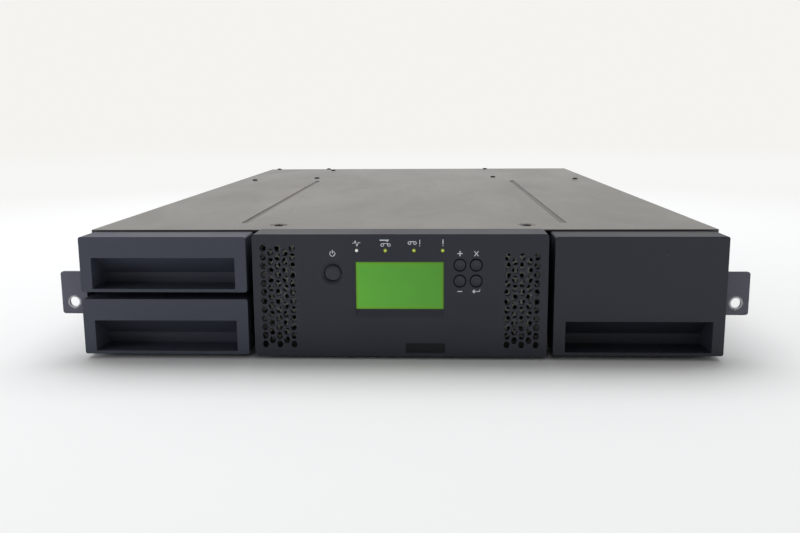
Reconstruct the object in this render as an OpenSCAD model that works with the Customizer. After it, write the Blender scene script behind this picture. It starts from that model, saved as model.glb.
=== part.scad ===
// Rack-mounted data tape library, two rack units high.
// X runs across the unit, Y from the front to the rear, Z up, in millimetres.
// The pieces are drawn with Y = 0 on the front faces, and in_place() then centres the depth.

/* [Enclosure] */
// Width across the chassis side walls
chassis_w = 443.4; // [441:0.2:446]
// Height of the top cover
body_h = 87.6; // [86.8:0.2:92]
// Distance from the front faces to the outside of the rear wall
chassis_back = 736; // [724:1:780]
// Thickness of the chassis and cover sheet
sheet = 1.2; // [1:0.1:1.4]
// Distance from the front faces to the front edge of the cover
cover_front = 28; // [26:0.5:28]
// Distance from the front faces to the front edge of the chassis floor
floor_front = 30; // [29:0.5:32]
// Height at which the cover's side skirts end
skirt_bottom = 12; // [6:1:24]
// Width of the flange along the top of each chassis wall
wall_flange = 7; // [4:0.5:9]
// Half distance between the two pressed grooves in the cover
groove_x = 120.5; // [110:0.5:130]
// Width of a pressed groove
groove_w = 5; // [3:0.5:8]
// Depth of a pressed groove
groove_depth = 0.8; // [0.4:0.1:1]
// Where the grooves start behind the front faces
groove_start = 67; // [60:1:90]
// Distance from the grooves' ends to the partition behind the magazines
groove_stop = 10; // [5:1:100]
// Half width of the cover's turned-down front lip
lip_half = 41; // [30:1:60]
// Height of that lip
lip_h = 1.6; // [1:0.1:1.8]

/* [Rack ears] */
// How far an ear reaches out from the cover's side
ear_w = 18.3; // [17:0.1:19]
// Distance of a rack hole from the ear's outer edge
ear_rim = 8.75; // [8:0.05:9.5]
// Height of the rack holes
ear_hole_z = 38; // [36:0.1:44]
// Diameter of the rack holes
ear_hole_d = 7; // [6.5:0.1:7.4]
// Height of the ears' lower edge
ear_bottom = 29.5; // [26:0.5:31]
// Height of the ears' upper edge
ear_top = 60; // [50:0.5:64]
// Distance from the front faces to the front of the ears
ear_front = 12.8; // [8:0.2:16]
// Thickness of the ears
ear_t = 2; // [1.5:0.1:2.5]
// Length of an ear's side plate
ear_len = 100; // [80:1:140]

/* [Front mouldings] */
// Depth of the front mouldings
front_depth = 28; // [26:0.5:28]
// Width of the mouldings at both sides
side_front_w = 116.1; // [115:0.1:117]
// Height of their lower edge
front_bottom = 3.5; // [3:0.1:4]
// Height of their upper edge
front_top = 86.3; // [86:0.1:87]
// Height of the top of the cartridge station's moulding
station_top = 42.7; // [41:0.1:44]
// Height of the bottom of the moulding over it
upper_bottom = 47.7; // [46:0.1:49]
// Wall of the mouldings
front_wall = 2.2; // [1.8:0.1:2.4]
// Radius of the outer corners of the mouldings
front_r = 1.5; // [1:0.1:2]
// Width of a grip recess
grip_w = 100; // [80:1:104]
// Height of a grip recess
grip_h = 21.8; // [18:0.1:22]
// Depth of a grip recess at its lower edge
grip_depth = 24; // [20:0.5:25]
// Depth of a grip recess at its upper edge
grip_top_depth = 12; // [8:0.5:18]
// Wall under and around a grip recess
grip_wall = 2; // [1.6:0.1:2.1]

/* [Centre panel] */
// Width of the centre panel
panel_w = 202.4; // [202:0.1:204]
// Height of its lower edge
panel_bottom = 2.4; // [2:0.1:3]
// Height of its upper edge
panel_top = 88.1; // [87.6:0.1:89]
// Thickness of its face
panel_face = 2.5; // [2:0.1:2.6]
// Radius of its corners
panel_r = 2; // [1:0.1:3]
// Width of a vent hexagon
hex_w = 4.5; // [4:0.1:4.6]
// Height of a vent hexagon
hex_h = 4.7; // [4:0.1:5]
// Distance between columns of hexagons
hex_dx = 5; // [4.9:0.05:5.2]
// Distance between hexagons in a column
hex_dz = 6.155; // [6.1:0.005:6.3]
// Distance of the innermost column of hexagons from the middle
vent_x = 73.65; // [72.5:0.05:76]
// Height of the lowest hexagon
vent_z = 10.9; // [9:0.1:12]
// Number of hexagons in the left vent's longest columns
vent_rows_left = 12; // [8:1:12]
// Number of hexagons in the right vent's longest columns
vent_rows_right = 11; // [8:1:12]
// Number of columns in each vent
vent_columns = 5; // [3:1:5]
// Distance from the front faces to the screen behind the vents
screen_y = 17; // [14:0.5:17.5]
// Diameter of the screen's holes
screen_hole_d = 3; // [2:0.1:3.4]
// Distance between the screen's holes
screen_pitch = 4.4; // [4:0.1:5]

/* [Display and buttons] */
// Width of the display window
window_w = 60.7; // [56:0.1:62]
// Height of the display window
window_h = 33.4; // [30:0.1:34]
// Height of the window's lower edge
window_bottom = 35.7; // [34:0.1:36]
// How deep the lens sits behind the face
lens_inset = 1; // [0.6:0.1:1.2]
// Thickness of the lens
lens_t = 1.5; // [1:0.1:1.6]
// Height of the bevel under the window
bevel_h = 5.3; // [3:0.1:6]
// Distance from the front faces to the panel's circuit board
board_y = 9; // [8.6:0.1:9.4]
// Thickness of the circuit boards
board_t = 1.6; // [1.2:0.1:2]
// Position of the power button across the panel
power_x = -45.9; // [-50:0.1:-44]
// Height of the power button
power_z = 61.4; // [56:0.1:64]
// Diameter of the power button
power_d = 10.6; // [9:0.1:11]
// Travel of the power button
power_travel = 1.5; // [1:0.1:1.6]
// Diameter of the keys
key_d = 7.6; // [6:0.1:8]
// Travel of the keys
key_travel = 1; // [0.6:0.1:1.1]
// Middle of the four keys across the panel
keys_x = 46.7; // [45:0.1:48]
// Height of the middle of the four keys
keys_z = 61.35; // [58:0.05:64]
// Distance between the keys
key_pitch = 11.1; // [10.9:0.1:12]
// Gap around each button
button_gap = 0.6; // [0.3:0.05:0.8]
// Diameter of the status lights
light_d = 2.8; // [2:0.1:3]
// Distance between the status lights
light_pitch = 19.57; // [15:0.01:20]
// Height of the status lights
light_z = 76.7; // [75:0.1:80]

/* [Magazines] */
// Distance of the magazines' cartridge mouths from the middle
mouth_x = 112; // [111:0.5:113]
// Gap between a magazine and the chassis wall
bay_gap = 0.9; // [0.6:0.1:1]
// Number of cartridge columns in a magazine
columns = 4; // [3:1:4]
// Number of cartridge rows
rows = 3; // [2:1:3]
// Gap between a magazine's rear end and the partition
mag_end_gap = 25; // [22:0.5:30]
// Gap between the top row's cells and the cover
row_clear = 3; // [2.6:0.1:3.4]
// Height of the lowest cartridges' seat
seat_z = 9.6; // [9.4:0.1:10]
// Thickness of the shelves
shelf_t = 1.2; // [1:0.1:1.6]
// Thickness of the dividers
divider_t = 2; // [1.5:0.1:2.5]
// Thickness of a magazine's floor and outer wall
mag_wall = 1.6; // [1.2:0.1:2]
// Clearance of what slides
slide_gap = 0.3; // [0.2:0.05:0.4]

/* [Robot] */
// Distance of the carriage's resting place from the front faces
carriage_y = 125; // [124:0.5:130]
// Distance of the carriage plate's side edge from the rack's pitch line
carriage_side = 9; // [8.4:0.1:14]
// Half length of the carriage plate
carriage_half_l = 50; // [46:1:50]
// Thickness of the carriage plate
carriage_t = 1.5; // [1.2:0.1:1.6]
// Diameter of the guide rod
rod_d = 5; // [4:0.1:6]
// Radial clearance of shafts and rods in their bores
run_gap = 0.05; // [0.03:0.01:0.1]
// Module of the rack and its pinion
tooth_module = 1; // [0.9:0.05:1]
// Teeth of the pinion
pinion_teeth = 14; // [14:1:15]
// Distance of the rack's pitch line from the middle
rack_x = 104; // [103.5:0.1:104.2]
// Radius of the turntable's belt wheel
table_r = 46; // [40:1:47]
// Radius of the motor's belt wheel
pulley_r = 5; // [4:0.5:6]
// Half distance between the lead screws
screw_x = 59.5; // [59:0.1:60]
// Diameter of the lead screws
screw_d = 5; // [4:0.1:6]
// Diameter of the guide posts
post_d = 4; // [3:0.1:4]
// Distance of a guide post from its lead screw
post_y = 22; // [16:1:23]
// Inside width of the picker tray
tray_w = 106; // [105.6:0.1:106.2]
// Length of the picker tray
tray_l = 108; // [104:0.5:108]
// Height of the tray's side walls
tray_h = 16; // [10:1:20]

/* [Rear modules] */
// Depth of the rear bay, from the partition behind the magazines to the rear
rear_bay = 236; // [234:1:240]
// Left face of the wall beside the power supply
supply_wall_x = -127; // [-130:0.5:-120]
// Left face of the wall beside the controller
control_wall_x = 102; // [100:0.5:106]
// Width of the tape drive
drive_w = 146.1; // [144:0.1:150]
// Gap between the tape drive and the cover
drive_clear = 1.9; // [1.6:0.1:3]
// Length of the tape drive
drive_l = 205; // [200:1:215]
// How far the tape drive's front stands in front of the partition
drive_ahead = 8; // [4:0.5:11]
// Gap on each side of the power supply's case
supply_side = 2.75; // [2.3:0.05:4]
// Length of the power supply's case
supply_l = 190; // [150:1:200]
// Gap on each side of the controller's tray
control_side = 2.65; // [2.3:0.05:6]
// Length of the controller's tray
control_l = 200; // [150:1:215]
// How far the handles reach behind the rear wall
handle_out = 22; // [18:1:30]
// Height of the lower edge of the power supply's fan
fan_bottom = 22; // [21:0.5:26]

/* [Hidden] */
$fn = 48;

overall_d = chassis_back + handle_out;
half_w = chassis_w / 2;
wall_in = half_w - sheet;
cover_gap = 0.1;
cover_half = half_w + cover_gap + sheet;
roof = body_h - sheet;
partition_y = chassis_back - rear_bay;
groove_end = partition_y - groove_stop;
ear_x = cover_half + ear_w;

side_front_in = half_w - side_front_w;
grip_x = side_front_in + (side_front_w - grip_w) / 2;

panel_half = panel_w / 2;
panel_in = panel_half - front_wall;
vent_out = vent_x + (vent_columns - 1) * hex_dx;

mag_out = wall_in - bay_gap;
mag_front = front_depth;
column_pitch = (partition_y - mag_end_gap - divider_t - mag_front) / columns;
row_pitch = (roof - seat_z - row_clear) / rows;
mag_back = mag_front + columns * column_pitch + divider_t;
mag_floor = seat_z - mag_wall;
cell_l = column_pitch - divider_t;
mag_top = seat_z + rows * row_pitch - shelf_t + 0.4;
rail_top = sheet + 1.2;
runner_bottom = rail_top + slide_gap;
runner_t = 2;
// Distances of the two runners from the middle
runner_x = [mouth_x + 6, mag_out - 8];

carriage_half_w = rack_x - carriage_side;
carriage_z = rail_top + slide_gap;
carriage_top = carriage_z + carriage_t;
rod_x = -102;
rod_z = 7;
pinion_r = tooth_module * pinion_teeth / 2;
pinion_x = rack_x - pinion_r;
pinion_y = 40;
pulley_x = 91;
pulley_y = -38;
belt_z = carriage_top + 0.4;
belt_w = 1;
belt_t = 0.8;
table_z = carriage_top + slide_gap;
table_rim = 1.3;
arm_z = table_z + table_rim;
arm_t = 1;
lift_z = arm_z + arm_t + slide_gap;
lift_t = 1;
tray_z = lift_z + lift_t + slide_gap;
tray_t = 1;
bridge_z = roof - 3.4;
bridge_t = 1.2;
screw_foot = arm_z + arm_t + slide_gap;
boss_h = 7;
grip_body_y = -tray_l / 2 + 1;
grip_body_l = 6;
finger_x = 48.5;
finger_w = 3;
finger_l = 10;

sled_t = 0.8;
sled_half = drive_w / 2 + 3;
sled_z = sheet + slide_gap;
drive_z = sled_z + sled_t;
drive_h = roof - drive_clear - drive_z;
drive_front = partition_y - drive_ahead;
drive_back = drive_front + drive_l;
opening_top = roof - 1.5;
face_t = 1.2;
face_lap = 1.4;
face_bottom = 0.4;
rear_in = chassis_back - sheet;
sled_open = sled_half + 0.8;
supply_x = (supply_wall_x - wall_in) / 2;
supply_w = wall_in + supply_wall_x - 2 * supply_side;
module_bottom = sheet + slide_gap;
module_top = opening_top - 0.6;
control_x = (control_wall_x + sheet + wall_in) / 2;
control_w = wall_in - control_wall_x - sheet - 2 * control_side;
fan_x = 40;
fan_rim = 2;
fan_side = opening_top - 2.9 - fan_bottom;
fan_d = fan_side - 2 * fan_rim;
fan_z = opening_top / 2 + 1.55;
supply_fan_z = fan_bottom + fan_side / 2;

// Moves the whole unit so that the middle of its depth lies at Y = 0
module in_place() {
  translate([0, -overall_d / 2, 0]) children();
}

// Block between two values on each axis
module block(x, y, z) {
  translate([x[0], y[0], z[0]]) cube([x[1] - x[0], y[1] - y[0], z[1] - z[0]]);
}

// Upright cylinder
module pillar(x, y, z, r) {
  translate([x, y, z[0]]) cylinder(h = z[1] - z[0], r = r);
}

// Cylinder along Y, with its own radius at the rear end for a cone
module round_y(x, z, y, r, r_back = undef) {
  translate([x, y[0], z]) rotate([-90, 0, 0])
    cylinder(h = y[1] - y[0], r1 = r, r2 = is_undef(r_back) ? r : r_back);
}

// Cylinder along X
module round_x(y, z, x, r) {
  translate([x[0], y, z]) rotate([0, 90, 0]) cylinder(h = x[1] - x[0], r = r);
}

// Extrudes an outline drawn in X and Z along Y
module extrude_y(y) {
  translate([0, y[1], 0]) rotate([90, 0, 0]) linear_extrude(height = y[1] - y[0]) children();
}

// Extrudes an outline drawn in Y and Z along X
module extrude_x(x) {
  translate([x[0], 0, 0]) rotate([90, 0, 90]) linear_extrude(height = x[1] - x[0]) children();
}

// Rectangle with round corners between two values on each axis
module round_rect(x, y, r) {
  translate([x[0] + r, y[0]]) square([x[1] - x[0] - 2 * r, y[1] - y[0]]);
  translate([x[0], y[0] + r]) square([x[1] - x[0], y[1] - y[0] - 2 * r]);
  for (a = [x[0] + r, x[1] - r], b = [y[0] + r, y[1] - r]) translate([a, b]) circle(r = r);
}

module mirrored() {
  children();
  mirror([1, 0, 0]) children();
}

// ---- Enclosure ----

module rear_openings() {
  y = [rear_in - 1, chassis_back + 1];
  z = [sheet, opening_top];
  block([-sled_open, sled_open], y, z);
  block([supply_x - supply_w / 2 - 0.8, supply_x + supply_w / 2 + 0.8], y, z);
  block([control_x - control_w / 2 - 0.8, control_x + control_w / 2 + 0.8], y, z);
}

// Slots in the strip of rear wall between the power supply and the drive
module rear_slots() {
  slot_l = 26;
  slot_h = 2.4;
  slot_step = 6;
  middle = (supply_wall_x - sled_open) / 2;
  for (i = [0:9])
    block([middle - slot_l / 2, middle + slot_l / 2], [rear_in - 1, chassis_back + 1],
      [14 + i * slot_step, 14 + i * slot_step + slot_h]);
}

module chassis_base() {
  color([0.55, 0.56, 0.58]) in_place() difference() {
    union() {
      block([-half_w, half_w], [floor_front, chassis_back], [0, sheet]);
      mirrored() {
        block([wall_in, half_w], [floor_front, chassis_back], [0, roof]);
        block([half_w - wall_flange, half_w], [floor_front, chassis_back], [roof - sheet, roof]);
      }
      block([-half_w, half_w], [rear_in, chassis_back], [0, roof]);
      block([-half_w, half_w], [rear_in - wall_flange, rear_in], [roof - sheet, roof]);
    }
    rear_openings();
    rear_slots();
  }
}

// Places of the screws in the cover's top: two in dimples near the front, six farther back
front_screws = [[-92, 54.5], [92, 54.5]];
// Across the unit, and distance in front of the rear wall
top_screw_at = [[-203, 230], [203, 221], [-128, 198], [102, 184], [-125, 38], [102, 11]];
top_screws = [for (a = top_screw_at) [a[0], chassis_back - a[1]]];
dimple_r = 7.5;
dimple_depth = 1;
screw_hole_r = 1.7;
// Screws in the cover's sides, by their distances in front of the rear wall
side_screw_y = [for (d = [576, 386, 196, 21]) chassis_back - d];
side_screw_z = skirt_bottom + 10;

module cover_groove(x) {
  block([x - groove_w / 2 - sheet, x + groove_w / 2 + sheet], [groove_start - sheet, groove_end + sheet],
    [roof - groove_depth, roof + 0.1]);
}

module cover_groove_cut(x) {
  block([x - groove_w / 2, x + groove_w / 2], [groove_start, groove_end], [body_h - groove_depth, body_h + 1]);
}

module dimple(at, z, grow) {
  translate([at[0], at[1], z - dimple_depth])
    cylinder(h = dimple_depth + 0.01, r1 = dimple_r - dimple_depth * 2 + grow, r2 = dimple_r + grow);
}

module top_cover() {
  color([0.33, 0.33, 0.35]) in_place() difference() {
    union() {
      block([-cover_half, cover_half], [cover_front, chassis_back], [roof, body_h]);
      mirrored() block([cover_half - sheet, cover_half], [cover_front, chassis_back], [skirt_bottom, body_h]);
      block([-lip_half, lip_half], [cover_front, cover_front + sheet], [roof - lip_h, body_h]);
      for (x = [-groove_x, groove_x]) cover_groove(x);
      for (at = front_screws) dimple(at, roof, 0.6);
    }
    for (x = [-groove_x, groove_x]) cover_groove_cut(x);
    for (at = front_screws) dimple(at, body_h, 0);
    for (at = concat(front_screws, top_screws)) pillar(at[0], at[1], [roof - 3, body_h + 1], screw_hole_r);
    for (s = [-1, 1], y = side_screw_y)
      round_x(y, side_screw_z, s > 0 ? [half_w, cover_half + 1] : [-cover_half - 1, -half_w], screw_hole_r);
  }
}

window_in = 30;
cable_w = 24;
cable_h = 20;

module rear_bulkhead() {
  color([0.68, 0.69, 0.7]) in_place() difference() {
    union() {
      block([-wall_in, wall_in], [partition_y, partition_y + sheet], [sheet, roof - sheet]);
      block([supply_wall_x, supply_wall_x + sheet], [partition_y, rear_in - wall_flange], [sheet, roof]);
      block([control_wall_x, control_wall_x + sheet], [partition_y, rear_in - wall_flange], [sheet, roof]);
    }
    block([-sled_open, sled_open], [partition_y - 1, partition_y + 2 * sheet], [0, roof]);
    // Cable windows beside the drive
    for (x = [supply_wall_x - window_in, control_wall_x + window_in])
      block([x - cable_w / 2, x + cable_w / 2], [partition_y - 1, partition_y + 2 * sheet],
        [(roof - cable_h) / 2, (roof + cable_h) / 2]);
  }
}

module hexagon() {
  h = hex_h / 2;
  w = hex_w / 2;
  polygon([[-w, 0], [-w / 2, h], [w / 2, h], [w, 0], [w / 2, -h], [-w / 2, -h]]);
}

// One vent's hexagons, with every second column half a step higher and one shorter
module vent(side, count) {
  for (c = [0:vent_columns - 1], r = [0:count - 1 - c % 2])
    translate([side * (vent_x + c * hex_dx), vent_z + (r + (c % 2) / 2) * hex_dz]) hexagon();
}

screen_flange_end = floor_front + 3.6;

module screen_holes() {
  step_z = screen_pitch * 0.866;
  n_x = floor((vent_out - vent_x + hex_w) / screen_pitch);
  n_z = floor((vent_rows_left - 1) * hex_dz / step_z);
  for (i = [0:n_x], j = [0:n_z])
    translate([vent_x - hex_w / 2 + 1 + (i + (j % 2) / 2) * screen_pitch - 0.6, vent_z + j * step_z])
      circle(d = screen_hole_d);
}

module front_bulkhead() {
  half = panel_in - slide_gap;
  color([0.72, 0.72, 0.7]) in_place() union() {
    extrude_y([screen_y, screen_y + sheet]) difference() {
      translate([-half, panel_bottom + front_wall])
        square([2 * half, panel_top - panel_bottom - 2 * front_wall]);
      mirrored() screen_holes();
    }
    mirrored() {
      block([half - sheet, half], [screen_y, front_depth], [panel_bottom + front_wall, panel_top - front_wall]);
      block([half - sheet, half], [front_depth, screen_flange_end], [sheet + 2, roof - 1]);
      block([half - sheet, half], [floor_front, screen_flange_end], [sheet, sheet + 2]);
      block([half - sheet - 5, half], [floor_front, screen_flange_end], [sheet, 2 * sheet]);
    }
  }
}

// Distances behind the ear's front of the screws in its side plate, and their height
ear_screw_y = [34, 58, 84];
ear_screw_z = 45;
ear_r = 2;

module rack_ear(side) {
  s = side > 0 ? 0 : 1;
  color([0.3, 0.3, 0.34]) in_place() mirror([s, 0, 0]) difference() {
    union() {
      extrude_y([ear_front, ear_front + ear_t]) {
        round_rect([cover_half + 3 * ear_t, ear_x], [ear_bottom, ear_top], ear_r);
        translate([cover_half, ear_bottom]) square([ear_w - ear_r, ear_top - ear_bottom]);
      }
      block([cover_half, cover_half + ear_t], [ear_front, ear_front + ear_len], [ear_bottom, ear_top]);
    }
    round_y(ear_x - ear_rim, ear_hole_z, [ear_front - 1, ear_front + ear_t + 1], ear_hole_d / 2);
    for (y = ear_screw_y) round_x(ear_front + y, ear_screw_z, [cover_half - 1, cover_half + ear_t + 1], screw_hole_r);
  }
}

module rack_ear_left() rack_ear(-1);
module rack_ear_right() rack_ear(1);

// Low domed screw, head up, with its seat at z = 0
module case_screw() {
  head_r = 3.2;
  head_h = 1.5;
  cylinder(h = head_h * 0.6, r = head_r);
  translate([0, 0, head_h * 0.6]) cylinder(h = head_h * 0.4, r1 = head_r, r2 = head_r - 0.8);
  translate([0, 0, -1.1]) cylinder(h = 1.2, r = screw_hole_r - 0.1);
}

module case_screws() {
  color([0.2, 0.2, 0.21]) in_place() {
    for (at = front_screws) translate([at[0], at[1], body_h - dimple_depth]) case_screw();
    for (at = top_screws) translate([at[0], at[1], body_h]) case_screw();
    mirrored() {
      for (y = side_screw_y) translate([cover_half, y, side_screw_z]) rotate([0, 90, 0]) case_screw();
      for (y = ear_screw_y)
        translate([cover_half + ear_t, ear_front + y, ear_screw_z]) rotate([0, 90, 0]) case_screw();
    }
  }
}

// ---- Bay floor ----

module magazine_rails() {
  fence_t = 1.2;
  fence_h = 4.8;
  fence_x = mouth_x - 2.4;
  color([0.62, 0.63, 0.64]) in_place() mirrored() {
    for (x = runner_x) block([x - 1, x + runner_t + 1], [floor_front, partition_y], [sheet, rail_top]);
    block([fence_x, fence_x + fence_t], [floor_front, partition_y], [sheet, sheet + fence_h]);
  }
}

rack_back = 3.5;
rack_top = 8;
rack_start = floor_front + 6;
rack_end = partition_y - 6;
rack_pitch = PI * tooth_module;

// One tooth of the rack, pointing towards -X from the pitch line, with some backlash
function rack_tooth(y) =
  let (add = 0.8 * tooth_module, ded = 1.25 * tooth_module, slope = tan(20), half = rack_pitch / 4 - 0.08)
  [[rack_x + ded, y - half - ded * slope], [rack_x - add, y - half + add * slope],
    [rack_x - add, y + half - add * slope], [rack_x + ded, y + half + ded * slope]];

module floor_rack() {
  count = floor((rack_end - rack_start) / rack_pitch) - 1;
  // A tooth space faces the pinion's centre at rest
  gap_y = carriage_y + pinion_y;
  first = gap_y + rack_pitch / 2 - floor((gap_y - rack_pitch / 2 - rack_start) / rack_pitch + 1) * rack_pitch;
  teeth = [for (i = [0:count - 1], p = rack_tooth(first + i * rack_pitch)) p];
  back_x = rack_x + rack_back;
  color([0.85, 0.85, 0.82]) in_place() translate([0, 0, sheet]) linear_extrude(height = rack_top - sheet)
    polygon(concat([[back_x, rack_start - 1], [rack_x + 1.25 * tooth_module, rack_start - 1]], teeth,
      [[rack_x + 1.25 * tooth_module, rack_end], [back_x, rack_end]]));
}

module guide_rod() {
  bracket_t = 4;
  color([0.8, 0.81, 0.82]) in_place() {
    round_y(rod_x, rod_z, [floor_front, partition_y], rod_d / 2);
    for (y = [floor_front, partition_y - bracket_t])
      difference() {
        block([rod_x - 5, rod_x + 3], [y, y + bracket_t], [sheet, rod_z + 4]);
        round_y(rod_x, rod_z, [y - 1, y + bracket_t + 1], rod_d / 2 - 0.01);
      }
    // Flat track under the carriage's other side
    block([carriage_half_w + 1, carriage_half_w + 7], [floor_front + 6, partition_y], [sheet, rail_top]);
  }
}

// ---- Centre panel ----

board_half = 68;
board_z = [14, 84];
// Bosses that hold the circuit board
boss_at = [[-62, 20], [62, 20], [-62, 80], [62, 80]];
lens_flange = 1.7;
power_flange = 1.6;
key_flange = 1.1;
flange_y = panel_face + slide_gap;
key_names = [[-1, 1], [1, 1], [-1, -1], [1, -1]];

module window_cut() {
  half = window_w / 2;
  block([-half, half], [-1, panel_face + 1], [window_bottom, window_bottom + window_h]);
  extrude_x([-half, half]) polygon([[-0.01, window_bottom - bevel_h], [lens_inset, window_bottom - 0.6],
    [lens_inset, window_bottom + 1], [-0.01, window_bottom + 1]]);
}

module power_cut() {
  round_y(power_x, power_z, [-1, panel_face + 1], power_d / 2 + button_gap + 0.2);
  round_y(power_x, power_z, [-0.01, 1.2], 8.25, power_d / 2 + button_gap + 0.2);
}

module key_cut(k) {
  x = keys_x + k[0] * key_pitch / 2;
  z = keys_z + k[1] * key_pitch / 2;
  round_y(x, z, [-1, panel_face + 1], key_d / 2 + button_gap);
  round_y(x, z, [-0.01, 0.4], key_d / 2 + button_gap + 0.35, key_d / 2 + button_gap);
}

module front_panel() {
  color([0.19, 0.2, 0.24]) in_place() difference() {
    union() {
      difference() {
        extrude_y([0, front_depth]) round_rect([-panel_half, panel_half], [panel_bottom, panel_top], panel_r);
        block([-panel_in, panel_in], [panel_face, front_depth + 1], [panel_bottom + front_wall, panel_top - front_wall]);
      }
      for (b = boss_at) round_y(b[0], b[1], [panel_face - 0.5, board_y], 3);
    }
    extrude_y([-1, panel_face + 1]) {
      vent(-1, vent_rows_left);
      vent(1, vent_rows_right);
    }
    window_cut();
    power_cut();
    for (k = key_names) key_cut(k);
    for (i = [-1.5:1:1.5]) round_y(i * light_pitch, light_z, [-1, panel_face + 1], light_d / 2 + 0.1);
    for (b = boss_at) round_y(b[0], b[1], [panel_face + 1, board_y + 1], 1.1);
  }
}

module display_window() {
  half = window_w / 2 - 0.15;
  z = [window_bottom + 0.15, window_bottom + window_h - 0.15];
  f = lens_flange;
  color([0.25, 0.5, 0.2]) in_place() {
    block([-half, half], [lens_inset, lens_inset + lens_t], z);
    block([-half - f, half + f], [panel_face, panel_face + 0.8], [z[0] - f, z[1] + f]);
    block([-half, half], [lens_inset + lens_t - 0.1, panel_face + 0.1], z);
  }
}

module display_module() {
  half = window_w / 2 + 3;
  z = [window_bottom - 4, window_bottom + window_h + 2.5];
  color([0.4, 0.7, 0.25]) in_place() {
    block([-half, half], [panel_face + 0.8, board_y], z);
  }
}

module status_lights() {
  color([0.7, 0.75, 0.25]) in_place()
    for (i = [-1.5:1:1.5]) {
      round_y(i * light_pitch, light_z, [0.9, board_y], light_d / 2);
      round_y(i * light_pitch, light_z, [0.5, 0.9], light_d / 2 - 0.4, light_d / 2);
    }
}

module panel_board() {
  color([0.1, 0.35, 0.2]) in_place() {
    difference() {
      block([-board_half, board_half], [board_y, board_y + board_t], board_z);
      for (b = boss_at) round_y(b[0], b[1], [board_y - 1, board_y + board_t + 1], 1.4);
    }
    // Push switches behind the buttons
    round_y(power_x, power_z, [board_y - 0.4, board_y + 0.1], 2);
    for (k = key_names)
      round_y(keys_x + k[0] * key_pitch / 2, keys_z + k[1] * key_pitch / 2, [board_y - 0.4, board_y + 0.1], 1.6);
    // Chips and the cable socket at the back
    block([-14, 14], [board_y + board_t - 0.1, board_y + board_t + 1.6], [50, 70]);
    block([22, 46], [board_y + board_t - 0.1, board_y + board_t + 4.5], [24, 31]);
  }
}

stop_gap = 0.2;

module power_button() {
  r = power_d / 2;
  color([0.2, 0.21, 0.25]) in_place() translate([power_x, 0, power_z]) rotate([-90, 0, 0]) {
    translate([0, 0, 0.8]) cylinder(h = flange_y - 0.8 + 0.8, r = r);
    translate([0, 0, 0.3]) cylinder(h = 0.5, r1 = r - 1.6, r2 = r);
    translate([0, 0, flange_y]) cylinder(h = 0.8, r = r + power_flange);
    cylinder_h = board_y - 0.4 - stop_gap - power_travel;
    translate([0, 0, flange_y]) cylinder(h = cylinder_h - flange_y, r = 2);
  }
}

module key(k) {
  r = key_d / 2;
  stem_end = board_y - 0.4 - stop_gap - key_travel;
  color([0.2, 0.21, 0.25]) in_place()
    translate([keys_x + k[0] * key_pitch / 2, 0, keys_z + k[1] * key_pitch / 2]) rotate([-90, 0, 0])
      difference() {
        union() {
          translate([0, 0, 0.7]) cylinder(h = flange_y - 0.7 + 0.7, r = r);
          translate([0, 0, 0.4]) cylinder(h = 0.3, r1 = r - 0.3, r2 = r);
          translate([0, 0, flange_y]) cylinder(h = 0.7, r = r + key_flange);
          translate([0, 0, flange_y]) cylinder(h = stem_end - flange_y, r = 1.5);
        }
        // Shallow finger dish
        translate([0, 0, 0.3]) cylinder(h = 0.4, r1 = r - 0.8, r2 = r - 1.8);
      }
}

module key_plus() key(key_names[0]);
module key_cancel() key(key_names[1]);
module key_minus() key(key_names[2]);
module key_enter() key(key_names[3]);

// ---- Magazines ----

// Hollow moulding with a grip recess that deepens towards its lower edge
module front_moulding(z, grip_z, pads) {
  w = front_wall;
  x = [side_front_in, half_w];
  g = [grip_x, grip_x + grip_w];
  t = grip_wall;
  d = grip_depth;
  top = grip_z + grip_h;
  difference() {
    union() {
      difference() {
        extrude_y([0, front_depth]) round_rect(x, z, front_r);
        block([x[0] + w, x[1] - w], [w, front_depth + 1], [z[0] + w, z[1] - w]);
      }
      extrude_x([g[0] - t, g[1] + t]) polygon([[w - 0.5, grip_z - t], [w - 0.5, top + t],
        [grip_top_depth + t, top + t], [d + t, grip_z + grip_h * 0.35], [d + t, grip_z - t]]);
      for (p = pads) round_y(p[0], p[1], [p[2], front_depth], pad_r);
    }
    extrude_x(g) polygon([[-1, grip_z], [-1, top], [grip_top_depth, top],
      [d, grip_z + grip_h * 0.35], [d, grip_z]]);
  }
}

grip_low = front_bottom + front_wall;
grip_high = upper_bottom + front_wall;
pad_x = [side_front_in + 25, half_w - 25];
pad_r = 3.5;
pad_start = grip_depth + 0.5;

module right_magazine_front() {
  upper = front_top - 16;
  color([0.2, 0.2, 0.24]) in_place() front_moulding([front_bottom, front_top], grip_low,
    [for (x = pad_x) [x, grip_low + 7.5, pad_start], for (x = pad_x) [x, upper, front_wall - 0.5]]);
}

module left_magazine_front() {
  color([0.26, 0.27, 0.32]) in_place() mirror([1, 0, 0])
    front_moulding([upper_bottom, front_top], grip_high, [for (x = pad_x) [x, grip_high + 5, pad_start]]);
}

module station_front() {
  color([0.26, 0.27, 0.32]) in_place() mirror([1, 0, 0])
    front_moulding([front_bottom, station_top], grip_low, [for (x = pad_x) [x, grip_low + 8, pad_start]]);
}

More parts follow.
